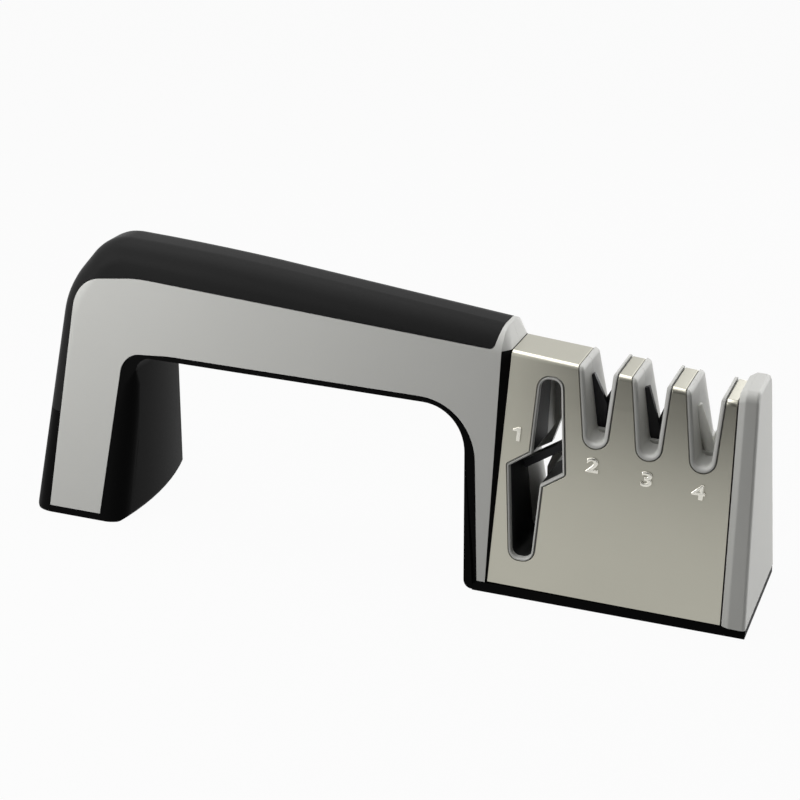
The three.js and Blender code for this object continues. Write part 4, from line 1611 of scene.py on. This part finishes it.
@dataclass
class Abrasives:
    """What grinds the blade: bar, plates and rods, with their holders and the screws."""

    head: Head
    rod_radius: float = 1.6
    rod_length: float = 17.0
    rod_crossing: float = 1.9
    rod_angle: float = 22.0
    rod_break: float = 0.35
    plate_foot: float = 1.5
    plate_thickness: float = 1.85
    plate_crossing: float = 0.8
    plate_bite: float = 1.6
    plate_shoulder: float = 2.0  # fall of a plate's top towards the wall
    plate_break: float = 0.15
    plates: tuple[Plate, ...] = (
        Plate("carbide_plate", CARBIDE, 10.6, 17.4, 27.5),
        Plate("diamond_plate", DIAMOND, 7.8, 17.0, 19.0),
    )
    half_gap: float = 0.1
    node_break: float = 0.12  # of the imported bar, holders and screws

    def build_rod(self, side: Side) -> bpy.types.Object:
        """One of the crossed ceramic rods.

        Args:
            side: The way that it leans.

        Returns:
            The rod.
        """
        last = self.head.slot_count - 1
        angle = math.radians(self.rod_angle)
        rise = self.rod_crossing
        x, z = self.head.slot_middle(last, rise), self.head.slot_floor(last) + rise
        crossing = Vector((x, side.value * (self.rod_radius + self.half_gap), z))
        along = Vector((side.value * math.sin(angle), 0, math.cos(angle)))
        below = (rise + self.plate_foot - self.rod_radius * math.sin(angle)) / math.cos(angle)
        foot, tip = crossing - along * below, crossing + along * (self.rod_length - below)
        body = rod(f"ceramic_rod_{side.name.lower()}_round", self.rod_radius, foot, tip)
        soften(body, self.rod_break)
        return body

    def build_plate(self, i: int, plate: Plate, side: Side) -> bpy.types.Object:
        """One of a crossed pair of plates, with a ground edge.

        Args:
            i: The slot.
            plate: The pair.
            side: The wall that it comes out of.

        Returns:
            The plate.
        """
        head = self.head
        bottom = head.slot_floor(i)
        lean = math.tan(math.radians(plate.angle))
        valley, sign = head.slot_middle(i, plate.valley), side.value
        half = head.slot_half + head.slot_flare * plate.height
        wall = head.slot_middle(i, plate.height) + sign * (half + self.plate_bite)
        past = valley - sign * self.plate_crossing
        top = bottom + plate.height
        tip = valley + sign * (plate.height - plate.valley) * lean
        corners = [
            (past, bottom - self.plate_foot, 0.0),
            (past, bottom + plate.valley - self.plate_crossing / lean, 0.0),
            (tip, top, 0.0),
            (wall, top - self.plate_shoulder, 0.0),
            (wall, bottom - self.plate_foot, 0.0),
        ]
        near, far = sorted((sign * self.half_gap, sign * (self.half_gap + self.plate_thickness)))
        name = f"{plate.name}_{side.name.lower()}_ground"
        body = slab(name, corners, lambda x, z: near, lambda x, z: far)
        soften(body, self.plate_break, 2)
        return body

    def build(self, shop: Workshop, nodes: dict[str, bpy.types.Object]) -> None:
        """Models the rods and plates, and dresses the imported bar, holders and screws.

        Args:
            shop: Where pieces settle.
            nodes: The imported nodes.
        """
        for side in Side:
            shop.settle(self.build_rod(side), CERAMIC, Body.HEAD, f"ceramic_rod_{side.name.lower()}")
            for i, plate in enumerate(self.plates):
                piece = self.build_plate(i, plate, side)
                shop.settle(piece, plate.finish, Body.HEAD, f"{plate.name}_{side.name.lower()}")
        finishes = {
            "scissor_bar": CARBIDE,
            "insert_holder": BLACK_ABS,
            "housing_screw": ZINC,
        }
        for name, node in nodes.items():
            for prefix, finish in finishes.items():
                if name.startswith(prefix):
                    shop.dress(node, finish, self.node_break)


@dataclass(frozen=True)
class Lamp:
    """A square soft light: its name, its place and size in millimetres, and its power in watts."""

    name: str
    place: tuple[float, float, float]
    size: float
    power: float


@dataclass
class Studio:
    """A pale floor, soft light and a camera at the photograph's angle."""

    azimuth: float = 18.25  # degrees, to the right of the front
    elevation: float = 20.78
    roll: float = 2.61
    camera_place: tuple[float, float, float] = (166.61, -509.14, 246.65)  # millimetres
    lens: float = 90.0
    sensor: float = 36.0
    near_clip: float = 0.01  # metres
    floor_size: float = 12.0  # metres
    floor_drop: float = 0.05  # millimetres, under the pads
    floor_glow: float = 0.96  # share of the floor that is plain white to the eye
    floor_tone: float = 0.25  # of the paper under that
    room_light: float = 0.12  # light of the surroundings on the object
    flag_low: tuple[float, float, float] = (12.0, -125.0, 53.0)  # dark card in front, in millimetres
    flag_high: tuple[float, float, float] = (170.0, -125.0, 300.0)
    flag_colour: str = "#080808"
    aim_height: float = 40.0  # millimetres, where the lights point
    lamps: tuple[Lamp, ...] = (
        Lamp("key", (-210, -200, 200), 200, 0.74),
        Lamp("top", (-90, 70, 440), 340, 1.5),
        Lamp("side", (430, 120, 90), 200, 0.65),
        Lamp("rear", (240, 430, 170), 420, 1.1),
    )

    def seen(self, tree: bpy.types.NodeTree) -> bpy.types.NodeSocket:
        """Whether a ray comes from the camera, a reflection or a clear piece.

        Args:
            tree: The nodes of the floor or the surroundings.

        Returns:
            The socket that is 1 for these rays.
        """
        rays = add_node(tree, "LightPath", {}, {}).outputs
        first = add_node(
            tree, "Math", {"operation": "MAXIMUM"}, {0: rays["Is Camera Ray"], 1: rays["Is Glossy Ray"]}
        )
        return add_node(
            tree, "Math", {"operation": "MAXIMUM"}, {0: first.outputs[0], 1: rays["Is Transmission Ray"]}
        ).outputs[0]

    def build_floor(self) -> None:
        """The pale floor, white to the eye and in reflections, with the object's shadow on it."""
        bpy.ops.object.select_all(action="DESELECT")
        bpy.ops.mesh.primitive_plane_add(size=self.floor_size, location=(0, 0, -self.floor_drop * MM))
        floor = bpy.context.object
        floor.name = "studio_floor"
        material = bpy.data.materials.new("white_paper")
        material.use_nodes = True
        tree = material.node_tree
        tree.nodes.clear()
        paper = add_node(tree, "BsdfDiffuse", {"Color": (*[self.floor_tone] * 3, 1)}, {})
        white = add_node(tree, "Emission", {"Strength": 1.0}, {})
        share = add_node(tree, "Math", {"operation": "MULTIPLY", 1: self.floor_glow}, {0: self.seen(tree)})
        mix = add_node(
            tree, "MixShader", {}, {0: share.outputs[0], 1: paper.outputs[0], 2: white.outputs[0]}
        )
        add_node(tree, "OutputMaterial", {}, {"Surface": mix.outputs[0]})
        floor.data.materials.append(material)

    def build_flag(self) -> None:
        """A dark card beside the camera, unseen by it, that gives the steel something dark to mirror."""
        low, high = Vector(self.flag_low) * MM, Vector(self.flag_high) * MM
        size = high - low
        bpy.ops.object.select_all(action="DESELECT")
        bpy.ops.mesh.primitive_plane_add(size=1.0, location=(low + high) / 2, rotation=(math.pi / 2, 0, 0))
        flag = bpy.context.object
        flag.name = "studio_flag"
        flag.scale = (size.x, size.z, 1)
        flag.visible_camera = False
        material = bpy.data.materials.new("black_felt")
        material.use_nodes = True
        shader = material.node_tree.nodes["Principled BSDF"]
        shader.inputs["Base Color"].default_value = linear(self.flag_colour)
        shader.inputs["Roughness"].default_value = 1.0
        flag.data.materials.append(material)

    def build_world(self) -> None:
        """White surroundings to the eye and in reflections, and a softer light from them."""
        world = bpy.data.worlds.new("white_room")
        world.use_nodes = True
        bpy.context.scene.world = world
        tree = world.node_tree
        background = tree.nodes["Background"]
        background.inputs["Color"].default_value = (1, 1, 1, 1)
        strength = add_node(
            tree, "MapRange", {"To Min": self.room_light, "To Max": 1.0}, {"Value": self.seen(tree)}
        )
        tree.links.new(strength.outputs["Result"], background.inputs["Strength"])

    def add_light(self, lamp: Lamp) -> None:
        """Adds a light that faces the object.

        Args:
            lamp: The light.
        """
        light = bpy.data.lights.new(lamp.name, "AREA")
        light.shape = "SQUARE"
        light.size = lamp.size * MM
        light.energy = lamp.power
        holder = bpy.data.objects.new(lamp.name, light)
        holder.location = Vector(lamp.place) * MM
        aim = Vector((0, 0, self.aim_height)) * MM - holder.location
        holder.rotation_euler = aim.to_track_quat("-Z", "Y").to_euler()
        bpy.context.scene.collection.objects.link(holder)

    def build_camera(self) -> None:
        """The camera."""
        camera = bpy.data.cameras.new("camera")
        camera.lens = self.lens
        camera.sensor_width = self.sensor
        camera.clip_start = self.near_clip
        holder = bpy.data.objects.new("camera", camera)
        azimuth, elevation = math.radians(self.azimuth), math.radians(self.elevation)
        ahead = Vector(
            (
                -math.sin(azimuth) * math.cos(elevation),
                math.cos(azimuth) * math.cos(elevation),
                -math.sin(elevation),
            )
        )
        turn = ahead.to_track_quat("-Z", "Y") @ Quaternion((0, 0, 1), math.radians(self.roll))
        holder.location = Vector(self.camera_place) * MM
        holder.rotation_euler = turn.to_euler()
        bpy.context.scene.collection.objects.link(holder)
        bpy.context.scene.camera = holder

    def build(self) -> None:
        """Sets up the floor, the surroundings, the lights and the camera."""
        self.build_floor()
        self.build_world()
        self.build_flag()
        for lamp in self.lamps:
            self.add_light(lamp)
        self.build_camera()
        bpy.context.scene.view_settings.view_transform = "Standard"


def main() -> None:
    """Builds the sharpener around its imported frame, then the studio."""
    logging.basicConfig(level=logging.INFO, format="%(message)s")
    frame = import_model()
    head_form = HeadForm()
    shop = Workshop(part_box("end_cap")[1].x - head_form.face(head_form.foot) * MM)
    handle = Handle(HandleForm(), head_form)
    handle.build(shop)
    head = Head(head_form)
    head.build(shop)
    Abrasives(head).build(shop, frame["nodes"])
    Studio().build()


if __name__ == "__main__":
    main()
